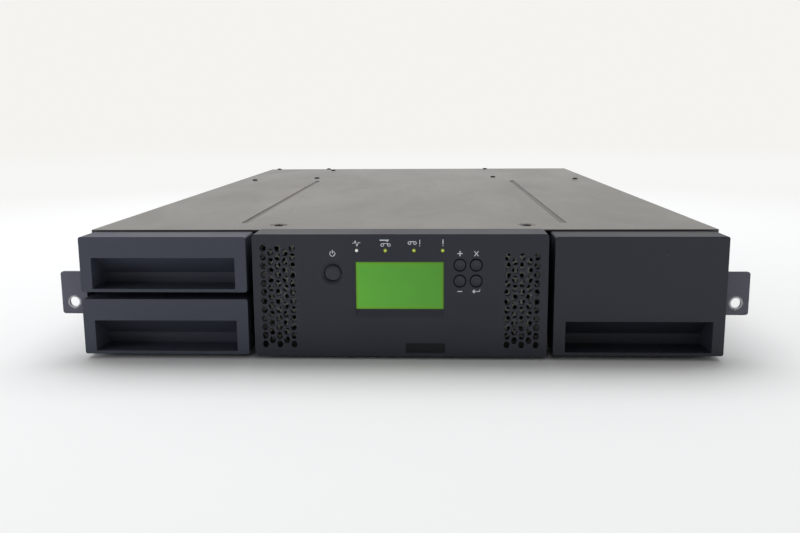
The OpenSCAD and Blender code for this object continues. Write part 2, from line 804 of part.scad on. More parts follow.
// Floor, runners and outer wall; the floor is left out under the cartridge station
module magazine_shell(station) {
  floor_start = station ? mag_front + column_pitch : mag_front;
  slot_w = 64;
  slot_h = 10;
  difference() {
    union() {
      block([mouth_x, mag_out], [floor_start, mag_back], [mag_floor, seat_z]);
      for (x = runner_x) block([x, x + runner_t], [mag_front + 2, mag_back], [runner_bottom, mag_floor + 0.1]);
      block([mag_out - mag_wall, mag_out], [mag_front, mag_back], [mag_floor - 0.8, mag_top]);
      if (station) {
        block([runner_x[1], mag_out], [mag_front, mag_front + column_pitch], [mag_floor - 0.8, mag_floor - 0.1]);
        block([runner_x[0], runner_x[0] + 6], [mag_front + 2, mag_front + column_pitch + 1],
          [mag_floor - 0.8, mag_floor - 0.1]);
        block([mouth_x, mag_out], [mag_front + column_pitch, mag_front + column_pitch + 6], [mag_floor - 0.8, seat_z]);
      }
    }
    for (c = [0:columns - 1], r = [0:rows - 1]) {
      y = mag_front + divider_t + cell_l / 2 + c * column_pitch;
      z = seat_z + (row_pitch - shelf_t) / 2 + r * row_pitch;
      extrude_x([mag_out - mag_wall - 1, mag_out + 1])
        round_rect([y - slot_w / 2, y + slot_w / 2], [z - slot_h / 2, z + slot_h / 2], slot_h / 2 - 0.01);
    }
  }
}

// Upright plates between the columns, with their corners at the mouth cut off
module magazine_dividers(station) {
  cut = 4;
  x = [mouth_x, mag_out - mag_wall];
  for (c = [0:columns]) {
    z0 = station && c == 0 ? seat_z + row_pitch : seat_z;
    extrude_y([mag_front + c * column_pitch, mag_front + c * column_pitch + divider_t])
      polygon([[x[0], z0], [x[1], z0], [x[1], mag_top], [x[0] + cut, mag_top], [x[0], mag_top - cut]]);
  }
}

// Shelves between the dividers; the first row stands on the floor
module magazine_shelves(station) {
  for (c = [0:columns - 1], r = [1:rows - 1]) {
    y0 = mag_front + divider_t + c * column_pitch;
    start = station && c == 0 && r == 1 ? mag_front : y0;
    z1 = seat_z + r * row_pitch;
    block([mouth_x, mag_out - mag_wall], [start, y0 + cell_l], [z1 - shelf_t, z1]);
  }
}

module left_magazine_shell() { color([0.24, 0.25, 0.27]) in_place() mirror([1, 0, 0]) magazine_shell(true); }
module left_magazine_dividers() { color([0.3, 0.31, 0.33]) in_place() mirror([1, 0, 0]) magazine_dividers(true); }
module left_magazine_shelves() { color([0.3, 0.31, 0.33]) in_place() mirror([1, 0, 0]) magazine_shelves(true); }
module right_magazine_shell() { color([0.24, 0.25, 0.27]) in_place() magazine_shell(false); }
module right_magazine_dividers() { color([0.3, 0.31, 0.33]) in_place() magazine_dividers(false); }
module right_magazine_shelves() { color([0.3, 0.31, 0.33]) in_place() magazine_shelves(false); }

// Open-topped tray behind the cartridge station's moulding
module station_tray() {
  g = slide_gap;
  t = 1.4;
  x = [mouth_x, mag_out - mag_wall - g];
  y = [mag_front, mag_front + column_pitch - g];
  z = [mag_floor + g - 0.1, seat_z + row_pitch - shelf_t - 1];
  color([0.3, 0.31, 0.33]) in_place() mirror([1, 0, 0]) difference() {
    block(x, y, z);
    block([x[0] - 1, x[1] - t], [y[0] + t, y[1] - t], [z[0] + t, z[1] + 1]);
  }
}

// ---- Robot ----

// Things on the carriage are drawn around the middle of its turntable
module on_carriage() {
  in_place() translate([0, carriage_y, 0]) children();
}

block_w = 12;
block_l = 18;
motor_r = 10;
motor_z = [9, 42];
skirt_t = 1.2;
hub_r = 8;
hole_r = 12;

module carriage() {
  color([0.7, 0.71, 0.72]) on_carriage() difference() {
    union() {
      block([-carriage_half_w, carriage_half_w], [-carriage_half_l, carriage_half_l], [carriage_z, carriage_top]);
      block([carriage_half_w - 1, carriage_half_w + 7], [-carriage_half_l, carriage_half_l], [carriage_z, carriage_top]);
      for (s = [-1, 1])
        block([rod_x - block_w / 2, rod_x + block_w / 2],
          s > 0 ? [carriage_half_l - block_l, carriage_half_l] : [-carriage_half_l, block_l - carriage_half_l],
          [carriage_z, rod_z + rod_d / 2 + 2.5]);
    }
    round_y(rod_x, rod_z, [-carriage_half_l - 1, carriage_half_l + 1], rod_d / 2 + run_gap);
    pillar(0, 0, [0, 20], hub_r + run_gap);
    // Holes that lighten the plate
    for (x = [-1, 1], y = [-1, 1]) pillar(x * (carriage_half_w - 23), y * (hole_r + 8), [0, 20], hole_r);
  }
}

// A motor on a skirt that stands on the carriage and is open on one side
module gear_motor(x, y, open_angle) {
  translate([x, y, 0]) {
    pillar(0, 0, motor_z, motor_r);
    pillar(0, 0, [motor_z[1] - 0.1, motor_z[1] + 2], motor_r * 0.4);
    difference() {
      pillar(0, 0, [carriage_top, motor_z[0] + 0.1], motor_r - 0.01);
      pillar(0, 0, [carriage_top - 1, motor_z[0]], motor_r - skirt_t);
      rotate([0, 0, open_angle]) block([-motor_r, motor_r], [-motor_r, 0], [carriage_top - 1, motor_z[0]]);
    }
    pillar(0, 0, [carriage_top + 1, motor_z[0] + 1], 1);
  }
}

module carriage_motors() {
  color([0.16, 0.16, 0.17]) on_carriage() {
    gear_motor(pinion_x, pinion_y, 90);
    gear_motor(pulley_x, pulley_y, atan2(pulley_y, pulley_x) - 90);
  }
}

function involute(base_r, a) = [
  base_r * (cos(a) + a * PI / 180 * sin(a)),
  base_r * (sin(a) - a * PI / 180 * cos(a))
];

// Spur wheel with involute teeth, one of them pointing along +X
module spur_wheel(teeth) {
  r = tooth_module * teeth / 2;
  base_r = r * cos(20);
  tip_r = r + tooth_module;
  root_r = r - 0.95 * tooth_module;
  tip_a = sqrt(pow(tip_r / base_r, 2) - 1) * 180 / PI;
  pitch_a = tan(20) * 180 / PI - 20;
  half_a = 90 / teeth - 0.08 / r * 180 / PI + pitch_a;
  steps = 5;
  flank = [for (i = [0:steps]) involute(base_r, tip_a * i / steps)];
  function turn(p, a) = [p[0] * cos(a) - p[1] * sin(a), p[0] * sin(a) + p[1] * cos(a)];
  tooth = concat([for (p = flank) turn(p, -half_a)], [for (i = [steps:-1:0]) turn([flank[i][0], -flank[i][1]], half_a)]);
  foot = root_r * 0.8;
  circle(r = root_r);
  for (i = [0:teeth - 1]) rotate(i * 360 / teeth)
    polygon(concat([turn([foot, 0], -half_a)], tooth, [turn([foot, 0], half_a)]));
}

pinion_z = [carriage_top + 0.3, 7.6];

module carriage_pinion() {
  color([0.9, 0.9, 0.86]) on_carriage() translate([pinion_x, pinion_y, pinion_z[0]])
    linear_extrude(height = pinion_z[1] - pinion_z[0]) difference() {
      spur_wheel(pinion_teeth);
      circle(r = 1 + run_gap);
    }
}

pulley_d = sqrt(pulley_x * pulley_x + pulley_y * pulley_y);

// Outline of a belt's run around both wheels, grown by a distance
module belt_outline(grow) {
  r1 = table_r + grow;
  r2 = pulley_r + grow;
  tilt = acos((r1 - r2) / pulley_d);
  rotate(atan2(pulley_y, pulley_x)) {
    circle(r = r1, $fn = 180);
    translate([pulley_d, 0]) circle(r = r2);
    polygon([r1 * [cos(tilt), sin(tilt)], [pulley_d, 0] + r2 * [cos(tilt), sin(tilt)],
      [pulley_d, 0] + r2 * [cos(tilt), -sin(tilt)], r1 * [cos(tilt), -sin(tilt)], [0, 0]]);
  }
}

module turn_belt() {
  color([0.08, 0.08, 0.08]) on_carriage() translate([0, 0, belt_z]) linear_extrude(height = belt_w) difference() {
    belt_outline(0.2 + belt_t);
    belt_outline(0.2);
  }
}

module turn_pulley() {
  color([0.8, 0.8, 0.8]) on_carriage() translate([pulley_x, pulley_y, 0]) difference() {
    pillar(0, 0, [carriage_top + 0.3, belt_z + belt_w + 0.6], pulley_r);
    pillar(0, 0, [0, 20], 1 + run_gap);
  }
}

arm_w = 16;

module turntable() {
  color([0.75, 0.76, 0.77]) on_carriage() difference() {
    union() {
      pillar(0, 0, [carriage_z + 0.1, table_z + 0.1], hub_r);
      pillar(0, 0, [table_z, arm_z], table_r);
      block([-screw_x - 4, screw_x + 4], [-post_y - 4, post_y + 4], [arm_z, arm_z + arm_t]);
    }
    for (s = [-1, 1], q = [-1, 1]) pillar(s * 28, q * 14, [0, 20], 9);
    pillar(0, 0, [0, 20], 3);
  }
}

module picker_posts() {
  color([0.85, 0.86, 0.87]) on_carriage()
    for (x = [-screw_x, screw_x], y = [-post_y, post_y])
      pillar(x, y, [arm_z + arm_t, bridge_z], post_d / 2);
}

module picker_bridge() {
  color([0.75, 0.76, 0.77]) on_carriage() difference() {
    block([-screw_x - 4, screw_x + 4], [-post_y - 4, post_y + 4], [bridge_z, bridge_z + bridge_t]);
    block([-screw_x + 8, screw_x - 8], [-post_y + 4, post_y - 4], [bridge_z - 1, bridge_z + bridge_t + 1]);
  }
}

module lead_screw(side) {
  color([0.6, 0.6, 0.62]) on_carriage()
    pillar(side * screw_x, 0, [screw_foot, bridge_z - slide_gap], screw_d / 2);
}

module lead_screw_left() lead_screw(-1);
module lead_screw_right() lead_screw(1);

tray_half = tray_w / 2 + 1;

module lift_plate() {
  inner = tray_half + 0.5;
  color([0.3, 0.32, 0.36]) on_carriage() difference() {
    union() {
      block([-screw_x - 4.5, screw_x + 4.5], [-post_y - 6, post_y + 6], [lift_z, lift_z + lift_t]);
      mirrored() block([inner, screw_x + 4.5], [-post_y - 6, post_y + 6], [lift_z, lift_z + boss_h]);
    }
    for (x = [-screw_x, screw_x]) {
      pillar(x, 0, [0, 30], screw_d / 2 + run_gap);
      for (y = [-post_y, post_y]) pillar(x, y, [0, 30], post_d / 2 + run_gap);
    }
    block([-30, 30], [-18, 18], [0, 30]);
  }
}

module picker_tray() {
  l = tray_l / 2;
  color([0.22, 0.23, 0.25]) on_carriage() difference() {
    block([-tray_half, tray_half], [-l, l], [tray_z, tray_z + tray_h]);
    block([-tray_w / 2, tray_w / 2], [-l - 1, l + 1], [tray_z + tray_t, tray_z + tray_h + 1]);
    // Window in the tray's floor
    block([-34, 34], [-30, 30], [0, tray_z + tray_t + 1]);
  }
}

grip_body_h = 15;
grip_bite = 17;
grip_z = [tray_z + tray_t + slide_gap, tray_z + tray_t + slide_gap + grip_body_h];

module gripper() {
  half = tray_w / 2 - slide_gap;
  color([0.5, 0.5, 0.52]) on_carriage() difference() {
    block([-half, half], [grip_body_y, grip_body_y + grip_body_l], grip_z);
    block([grip_bite - half, half - grip_bite], [grip_body_y - 1, grip_body_y + grip_body_l - 2], [grip_z[0] + 2, grip_z[1] + 1]);
  }
}

// Hooked finger beside the cartridge's end
module finger(side) {
  y0 = grip_body_y + grip_body_l + slide_gap;
  m = side > 0 ? 0 : 1;
  color([0.75, 0.75, 0.4]) on_carriage() mirror([m, 0, 0])
    translate([0, 0, grip_z[0] + 3]) linear_extrude(height = 8)
      polygon([[finger_x - finger_w, y0], [finger_x, y0], [finger_x, y0 + finger_l],
        [finger_x - finger_w - 1.5, y0 + finger_l], [finger_x - finger_w, y0 + finger_l - 3]]);
}

module finger_left() finger(-1);
module finger_right() finger(1);

// ---- Drive ----

slot_w = 108;
slot_z = [32, 58];

module tape_drive() {
  half = drive_w / 2;
  t = 1.5;
  color([0.5, 0.5, 0.5]) in_place() difference() {
    block([-half, half], [drive_front, drive_back], [drive_z, drive_z + drive_h]);
    block([-half + t, half - t], [drive_front + t, drive_back - t], [drive_z + t, drive_z + drive_h - t]);
    block([-slot_w / 2, slot_w / 2], [drive_front - 1, drive_front + t + 1], slot_z);
  }
}

// Round holes of a fan grille within a circle
module grille_holes(r) {
  pitch = 7;
  n = floor(r / pitch) + 1;
  for (i = [-n:n], j = [-n:n]) {
    x = (i + (abs(j) % 2) / 2) * pitch;
    z = j * pitch * 0.866;
    if (x * x + z * z < pow(r - 3, 2)) translate([x, z]) circle(d = 5.2);
  }
}

port_x = -50;
port_z = 24;
port_w = 26;
port_h = 10;
rear_face = chassis_back;

module drive_sled() {
  half = sled_half;
  face = sled_open + face_lap;
  color([0.72, 0.73, 0.74]) in_place() difference() {
    union() {
      block([-half, half], [drive_front + 10, rear_face + 0.1], [sled_z, sled_z + sled_t]);
      mirrored() block([half - sled_t, half], [drive_front + 10, rear_face + 0.1], [sled_z, opening_top - 0.6]);
      block([-face, face], [rear_face, rear_face + face_t], [face_bottom, opening_top + face_lap]);
    }
    extrude_y([rear_face - 1, rear_face + face_t + 1]) {
      translate([fan_x, fan_z]) grille_holes(fan_d / 2);
      translate([port_x - port_w / 2, port_z - port_h / 2]) square([port_w, port_h]);
    }
  }
}

module drive_port() {
  x = [port_x - port_w / 2 + 0.1, port_x + port_w / 2 - 0.1];
  z = [port_z - port_h / 2 + 0.1, port_z + port_h / 2 - 0.1];
  color([0.8, 0.8, 0.8]) in_place() difference() {
    block(x, [rear_face - 14, rear_face + face_t + 1], z);
    block([x[0] + 0.8, x[1] - 0.8], [rear_face - 12, rear_face + face_t + 2], [z[0] + 0.8, z[1] - 0.8]);
  }
}

fan_t = 15;

// Square fan body with a round duct, its back against the rear plate
module fan_body(x, z) {
  y = [rear_face - fan_t, rear_face];
  difference() {
    block([x - fan_side / 2, x + fan_side / 2], y, [z - fan_side / 2, z + fan_side / 2]);
    round_y(x, z, [y[0] - 1, y[1] + 1], fan_d / 2);
  }
  // Hub plate and its three arms at the rear
  round_y(x, z, [y[1] - 2, y[1] - 0.2], 10);
  for (a = [0:120:240]) translate([x, y[1] - 2, z]) rotate([0, a, 0])
    translate([0, 0, -1.5]) cube([fan_d / 2 + 0.5, 1.8, 3]);
  round_y(x, z, [y[1] - 9, y[1] - 1.9], 1.5);
}

module fan_rotor(x, z) {
  blades = 7;
  tip = fan_d / 2 - 1;
  y = [rear_face - fan_t + 1, rear_face - 3];
  difference() {
    union() {
      round_y(x, z, y, 11);
      for (i = [0:blades - 1]) translate([x, (y[0] + y[1]) / 2, z]) rotate([0, i * 360 / blades, 0])
        translate([10, 0, 0]) rotate([40, 0, 0]) translate([0, -6, -0.6]) cube([tip - 10.5, 12, 1.2]);
    }
    round_y(x, z, [y[0] + 2, y[1] + 1], 1.5 + run_gap);
    round_y(x, z, [y[1] - 0.01, y[1] + 5], tip + 2);
    round_y(x, z, [y[0] - 5, y[0] + 0.01], tip + 2);
  }
}

module drive_fan() { color([0.12, 0.12, 0.12]) in_place() fan_body(fan_x, fan_z); }
module drive_fan_rotor() { color([0.1, 0.1, 0.1]) in_place() fan_rotor(fan_x, fan_z); }

screw_in = 5;
screw_drop = 8.9;

// Captive screw with a knurled head standing on a rear plate
module thumbscrew(x, z) {
  round_y(x, z, [rear_face + face_t, rear_face + face_t + 2], 3);
  round_y(x, z, [rear_face + face_t + 1.9, rear_face + face_t + 10], 4.5);
}

// Bent tab for pulling the sled out, with a turned-down edge
module drive_handle() {
  x = [-40, -4];
  z = 66;
  end = chassis_back + handle_out;
  color([0.1, 0.25, 0.6]) in_place() {
    block(x, [rear_face + face_t, rear_face + face_t + 2], [z - 7, z + 7]);
    block(x, [rear_face + face_t, end], [z - 1, z + 1]);
    block(x, [end - 2, end], [z - 5, z + 1]);
  }
}

module drive_screws() {
  color([0.75, 0.75, 0.76]) in_place() for (s = [-1, 1])
    thumbscrew(s * (sled_half - screw_in), opening_top - screw_drop);
}

// ---- Power supply ----

inlet_z = 12;
inlet_w = 28;
inlet_h = 18;
inlet_depth = 18;

module power_supply() {
  x = [supply_x - supply_w / 2, supply_x + supply_w / 2];
  y = [chassis_back - supply_l, rear_face];
  z = [module_bottom, module_top];
  t = 1;
  color([0.65, 0.66, 0.67]) in_place() difference() {
    union() {
      block(x, y, z);
      block([x[0] - 0.8 - face_lap, x[1] + 0.8 + face_lap], [rear_face, rear_face + face_t],
        [face_bottom, opening_top + face_lap]);
    }
    block([x[0] + t, x[1] - t], [y[0] + t, y[1]], [z[0] + t, z[1] - t]);
    extrude_y([rear_face - 1, rear_face + face_t + 1]) {
      translate([supply_x, supply_fan_z]) grille_holes(fan_d / 2);
      translate([supply_x - 10 - inlet_w / 2, inlet_z - inlet_h / 2 + 1]) square([inlet_w, inlet_h - 4]);
    }
  }
}

module supply_fan() { color([0.12, 0.12, 0.12]) in_place() fan_body(supply_x, supply_fan_z); }
module supply_fan_rotor() { color([0.1, 0.1, 0.1]) in_place() fan_rotor(supply_x, supply_fan_z); }

module mains_inlet() {
  x = [supply_x - 10 - inlet_w / 2 + 0.1, supply_x - 10 + inlet_w / 2 - 0.1];
  z = [inlet_z - inlet_h / 2 + 1.1, inlet_z + inlet_h / 2 - 3.1];
  color([0.08, 0.08, 0.08]) in_place() {
    difference() {
      block(x, [rear_face - inlet_depth, rear_face + face_t + 0.6], z);
      block([x[0] + 1.6, x[1] - 1.6], [rear_face - inlet_depth + 3, rear_face + face_t + 1], [z[0] + 1.4, z[1] - 1.4]);
    }
    for (i = [-1:1]) block([supply_x - 10 + i * 7 - 0.8, supply_x - 10 + i * 7 + 0.8], [rear_face - inlet_depth + 2.5, rear_face - 3],
      [inlet_z - 1 - 2.4, inlet_z - 1 + 1.6]);
  }
}

module supply_screws() {
  color([0.75, 0.75, 0.76]) in_place() for (s = [-1, 1])
    thumbscrew(supply_x + s * (supply_w / 2 - screw_in - 1), opening_top - screw_drop + 2);
}

// ---- Controller ----

// Network socket, from its lower left corner
net_x = control_x - 36;
net_z = 22;
net_w = 16;
net_h = 14;
net_depth = 16;

module control_card() {
  x = [control_x - control_w / 2, control_x + control_w / 2];
  y0 = chassis_back - control_l;
  color([0.7, 0.71, 0.72]) in_place() difference() {
    union() {
      block(x, [y0, rear_face + 0.1], [module_bottom, module_bottom + 1]);
      for (a = [x[0], x[1] - 1]) block([a, a + 1], [y0, rear_face + 0.1], [module_bottom, module_bottom + 14]);
      block([x[0] - 0.8 - face_lap, x[1] + 0.8 + face_lap], [rear_face, rear_face + face_t],
        [face_bottom, opening_top + face_lap]);
      // Circuit board on its spacers
      block([x[0] + 4, x[1] - 4], [y0 + 6, rear_face - 2], [module_bottom + 8, module_bottom + 8 + board_t]);
      for (a = [x[0] + 10, x[1] - 10], b = [y0 + 14, rear_face - 20])
        pillar(a, b, [module_bottom + 0.9, module_bottom + 8.1], 3);
    }
    extrude_y([rear_face - 1, rear_face + face_t + 1]) {
      translate([net_x, net_z]) square([net_w, net_h]);
      for (i = [0:7]) translate([control_x - 30 + i * 9, opening_top - 32.9]) square([3, 22]);
    }
  }
}

module control_ports() {
  x = [net_x + 0.1, net_x + net_w - 0.1];
  z = [net_z + 0.1, net_z + net_h - 0.1];
  color([0.82, 0.82, 0.82]) in_place() difference() {
    block(x, [rear_face - net_depth, rear_face + face_t + 0.6], z);
    block([x[0] + 1.6, x[1] - 1.6], [rear_face - net_depth + 3, rear_face + face_t + 1], [z[0] + 2.4, z[1] - 2.4]);
  }
}

module control_screws() {
  color([0.75, 0.75, 0.76]) in_place() for (s = [-1, 1])
    thumbscrew(control_x + s * (control_w / 2 - screw_in - 2), opening_top / 2 + 1.55);
}

chassis_base();
top_cover();
rear_bulkhead();
front_bulkhead();
rack_ear_left();
rack_ear_right();
case_screws();
magazine_rails();
floor_rack();
guide_rod();
front_panel();
display_window();
display_module();
status_lights();
panel_board();
power_button();
key_plus();
key_cancel();
key_minus();
key_enter();
left_magazine_front();
left_magazine_shell();
left_magazine_dividers();
left_magazine_shelves();
station_front();
station_tray();
right_magazine_front();
right_magazine_shell();
right_magazine_dividers();
right_magazine_shelves();
carriage();
carriage_motors();
carriage_pinion();
turn_belt();
turn_pulley();
turntable();
picker_posts();
picker_bridge();
lead_screw_left();
lead_screw_right();
lift_plate();
picker_tray();
gripper();
finger_left();
finger_right();
tape_drive();
drive_sled();
drive_port();
drive_fan();
drive_fan_rotor();
drive_handle();
drive_screws();
power_supply();
supply_fan();
supply_fan_rotor();
mains_inlet();
supply_screws();
control_card();
control_ports();
control_screws();
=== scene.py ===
import math

import bpy
from mathutils import Matrix, Vector


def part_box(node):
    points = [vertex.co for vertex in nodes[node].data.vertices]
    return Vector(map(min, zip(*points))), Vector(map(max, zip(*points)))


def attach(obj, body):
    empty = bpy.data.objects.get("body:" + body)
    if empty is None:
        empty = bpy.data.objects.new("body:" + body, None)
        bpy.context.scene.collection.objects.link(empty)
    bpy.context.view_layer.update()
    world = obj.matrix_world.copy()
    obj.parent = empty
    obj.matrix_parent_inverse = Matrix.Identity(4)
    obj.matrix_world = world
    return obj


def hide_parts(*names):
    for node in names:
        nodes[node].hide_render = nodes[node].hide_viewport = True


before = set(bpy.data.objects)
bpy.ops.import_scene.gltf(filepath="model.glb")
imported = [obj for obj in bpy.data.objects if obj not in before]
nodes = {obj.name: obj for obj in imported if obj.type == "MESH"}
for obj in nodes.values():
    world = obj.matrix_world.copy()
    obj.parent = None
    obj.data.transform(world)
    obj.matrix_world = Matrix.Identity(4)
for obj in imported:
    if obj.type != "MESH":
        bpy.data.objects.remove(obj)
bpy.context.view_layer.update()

# ---- Studio ----
# A photographer's table: a pale sweep with a high soft light a little behind the unit.
# The camera stands low in front of it, a hand's breadth above the cover.

front_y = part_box("front_panel")[0].y
scene = bpy.context.scene
scene.view_settings.view_transform = "Standard"


def at(x, y, z):
    """A point from millimetres across, behind the front faces and above the table."""
    return Vector((x / 1000, front_y + y / 1000, z / 1000))


def linear(r, g, b):
    """A colour as a paint chart gives it, in the linear values that shaders take."""
    parts = [c / 255 for c in (r, g, b)]
    return [c / 12.92 if c < 0.04 else ((c + 0.055) / 1.055) ** 2.4 for c in parts] + [1]


def add_node(tree, kind, inputs=None, **settings):
    made = tree.nodes.new("ShaderNode" + kind)
    for key, value in settings.items():
        setattr(made, key, value)
    for key, value in (inputs or {}).items():
        if isinstance(value, bpy.types.NodeSocket):
            tree.links.new(value, made.inputs[key])
        else:
            made.inputs[key].default_value = value
    return made


camera_pitch, camera_turn, camera_roll = 0.175, -0.038, -0.006
lens_mm = 38.197
ahead = Vector((
    math.sin(camera_turn) * math.cos(camera_pitch),
    math.cos(camera_turn) * math.cos(camera_pitch),
    -math.sin(camera_pitch),
))
level = Vector((math.cos(camera_turn), -math.sin(camera_turn), 0))
upright = level.cross(ahead)
right = level * math.cos(camera_roll) + upright * math.sin(camera_roll)
up = upright * math.cos(camera_roll) - level * math.sin(camera_roll)
camera_data = bpy.data.cameras.new("camera")
camera_data.lens = lens_mm
camera_data.sensor_width = 36
camera = bpy.data.objects.new("camera", camera_data)
scene.collection.objects.link(camera)
camera.matrix_world = Matrix.Translation(at(21.958, -570.131, 166.785)) @ Matrix(
    (right, up, -ahead)).transposed().to_4x4()
scene.camera = camera


def background_rays(tree):
    """1 for rays that come straight, mirrored or through glass from the camera's side."""
    path = add_node(tree, "LightPath")
    both = add_node(tree, "Math", {0: path.outputs["Is Camera Ray"], 1: path.outputs["Is Glossy Ray"]},
                    operation="MAXIMUM")
    return add_node(tree, "Math", {0: both.outputs[0], 1: path.outputs["Is Transmission Ray"]},
                    operation="MAXIMUM").outputs[0]


def towards(tree, position, low, high, at_low, at_high):
    """A value that runs from one level to another between two directions or places."""
    return add_node(tree, "MapRange", {"Value": position, "From Min": low, "From Max": high, "To Min": at_low,
                                       "To Max": at_high}, interpolation_type="SMOOTHSTEP").outputs[0]


world = bpy.data.worlds.new("studio")
scene.world = world
world.use_nodes = True
tree = world.node_tree
tree.nodes.clear()
sweep_white, table_white = linear(244, 243, 240), linear(247, 247, 245)
# The room in front of the table is dim, and the white sweep behind and over it is bright
parts = add_node(tree, "SeparateXYZ", {0: add_node(tree, "TexCoord").outputs["Generated"]})
raised = add_node(tree, "Math", {0: parts.outputs["Z"], 1: 0.35, 2: parts.outputs["Y"]},
                  operation="MULTIPLY_ADD")
fill_level = towards(tree, raised.outputs[0], -0.35, 0.6, 0.08, 0.9)
mirror_level = add_node(tree, "Math", {0: towards(tree, parts.outputs["Y"], -0.5, 0.15, 0.3, 1.0),
                                       1: towards(tree, parts.outputs["X"], -0.9, 0.9, 1.15, 0.85)},
                        operation="MULTIPLY", use_clamp=True)
fill = add_node(tree, "Background", {"Color": sweep_white, "Strength": fill_level})
mirrored = add_node(tree, "Background", {"Color": sweep_white, "Strength": mirror_level.outputs[0]})
plain = add_node(tree, "Background", {"Color": sweep_white, "Strength": 1.0})
path = add_node(tree, "LightPath")
indirect = add_node(tree, "MixShader", {0: background_rays(tree), 1: fill.outputs[0], 2: mirrored.outputs[0]})
direct = add_node(tree, "MixShader",
                  {0: path.outputs["Is Camera Ray"], 1: indirect.outputs[0], 2: plain.outputs[0]})
add_node(tree, "OutputWorld", {0: direct.outputs[0]})

bpy.ops.object.select_all(action="DESELECT")
bpy.ops.mesh.primitive_plane_add(size=14, location=(0, 3, 0))
floor = bpy.context.object
floor.name = "table"
bpy.ops.object.transform_apply(location=True, rotation=False, scale=False)
floor_finish = bpy.data.materials.new("pale table")
floor_finish.use_nodes = True
tree = floor_finish.node_tree
tree.nodes.clear()
matt = add_node(tree, "BsdfDiffuse", {"Color": linear(240, 241, 243)})
glow = add_node(tree, "Emission", {"Color": table_white, "Strength": 1.0})
# Away from the unit the table runs into the sweep without a line between them
spot = add_node(tree, "TexCoord").outputs["Object"]
reach = add_node(tree, "VectorMath", {0: spot}, operation="LENGTH").outputs["Value"]
sweep = add_node(tree, "Emission", {"Color": sweep_white, "Strength": 1.0})
far = add_node(tree, "MixShader",
               {0: towards(tree, reach, 1.4, 4.5, 0, 1), 1: glow.outputs[0], 2: sweep.outputs[0]})
lift = add_node(tree, "Math", {0: background_rays(tree), 1: towards(tree, reach, 0.45, 1.6, 0.0, 1.0)},
                operation="MULTIPLY")
both = add_node(tree, "MixShader", {0: lift.outputs[0], 1: matt.outputs[0], 2: far.outputs[0]})
add_node(tree, "OutputMaterial", {0: both.outputs[0]})
floor.data.materials.append(floor_finish)


def soft_light(name, place, aim, width, height, watts):
    """A square lamp that lights the unit and the table but isn't mirrored in them."""
    lamp = bpy.data.lights.new(name, "AREA")
    lamp.shape = "RECTANGLE"
    lamp.size, lamp.size_y, lamp.energy = width, height, watts
    holder = bpy.data.objects.new(name, lamp)
    scene.collection.objects.link(holder)
    holder.location = place
    holder.rotation_mode = "QUATERNION"
    holder.rotation_quaternion = (Vector(aim) - Vector(place)).to_track_quat("-Z", "Y")
    holder.visible_glossy = False
    holder.visible_camera = False


soft_light("overhead", (-0.1, 0.6, 1.9), (0, 0, 0), 2.4, 1.5, 33)
soft_light("window", (-1.2, -1.0, 0.3), (-0.1, -0.38, 0.05), 0.5, 0.5, 5)
soft_light("far_window", (1.3, -0.9, 0.28), (0.15, -0.38, 0.05), 0.5, 0.5, 1.6)

# ---- Front mouldings ----
# The magazines' and the cartridge station's fronts are moulded in blue-black plastic with a
# fine spark-eroded texture, and their edges are just broken.

def broken_edge(tree, radius, grain, scale, depth):
    """Normal with the edges rounded by a radius and a moulded or sprayed grain on the faces."""
    edge = add_node(tree, "Bevel", {"Radius": radius}, samples=6)
    if not depth:
        return edge.outputs[0]
    return add_node(tree, "Bump", {"Height": grain, "Distance": depth, "Strength": scale,
                                   "Normal": edge.outputs[0]}).outputs[0]


def surface(name, dark, pale, rough, patch=9, grain=1500, depth=0.00002, edge=0.0004, stretch=(1, 1, 1),
            metallic=0.0, specular=0.5, rough_spread=0.06, coat=0.0):
    """A finish on Object coordinates: patchy colour, uneven gloss, a fine grain and broken edges."""
    made = bpy.data.materials.new(name)
    made.use_nodes = True
    tree = made.node_tree
    shader = tree.nodes["Principled BSDF"]
    place = add_node(tree, "Mapping", {0: add_node(tree, "TexCoord").outputs["Object"], "Scale": stretch})
    clouds = add_node(tree, "TexNoise", {"Vector": place.outputs[0], "Scale": patch, "Detail": 5.0,
                                         "Roughness": 0.6})
    tint = add_node(tree, "ValToRGB", {0: clouds.outputs[0]})
    tint.color_ramp.elements[0].position, tint.color_ramp.elements[1].position = 0.3, 0.7
    tint.color_ramp.elements[0].color, tint.color_ramp.elements[1].color = dark, pale
    tree.links.new(tint.outputs[0], shader.inputs["Base Color"])
    fine = add_node(tree, "TexNoise", {"Vector": place.outputs[0], "Scale": grain, "Detail": 2.0})
    gloss = add_node(tree, "MapRange", {"Value": clouds.outputs[0], "From Min": 0.3, "From Max": 0.7,
                                        "To Min": rough - rough_spread, "To Max": rough + rough_spread})
    tree.links.new(gloss.outputs[0], shader.inputs["Roughness"])
    tree.links.new(broken_edge(tree, edge, fine.outputs[0], 0.6, depth), shader.inputs["Normal"])
    shader.inputs["Metallic"].default_value = metallic
    shader.inputs["Specular IOR Level"].default_value = specular
    shader.inputs["Coat Weight"].default_value = coat
    return made


def dress(finish, *names):
    for name in names:
        nodes[name].data.materials.clear()
        nodes[name].data.materials.append(finish)


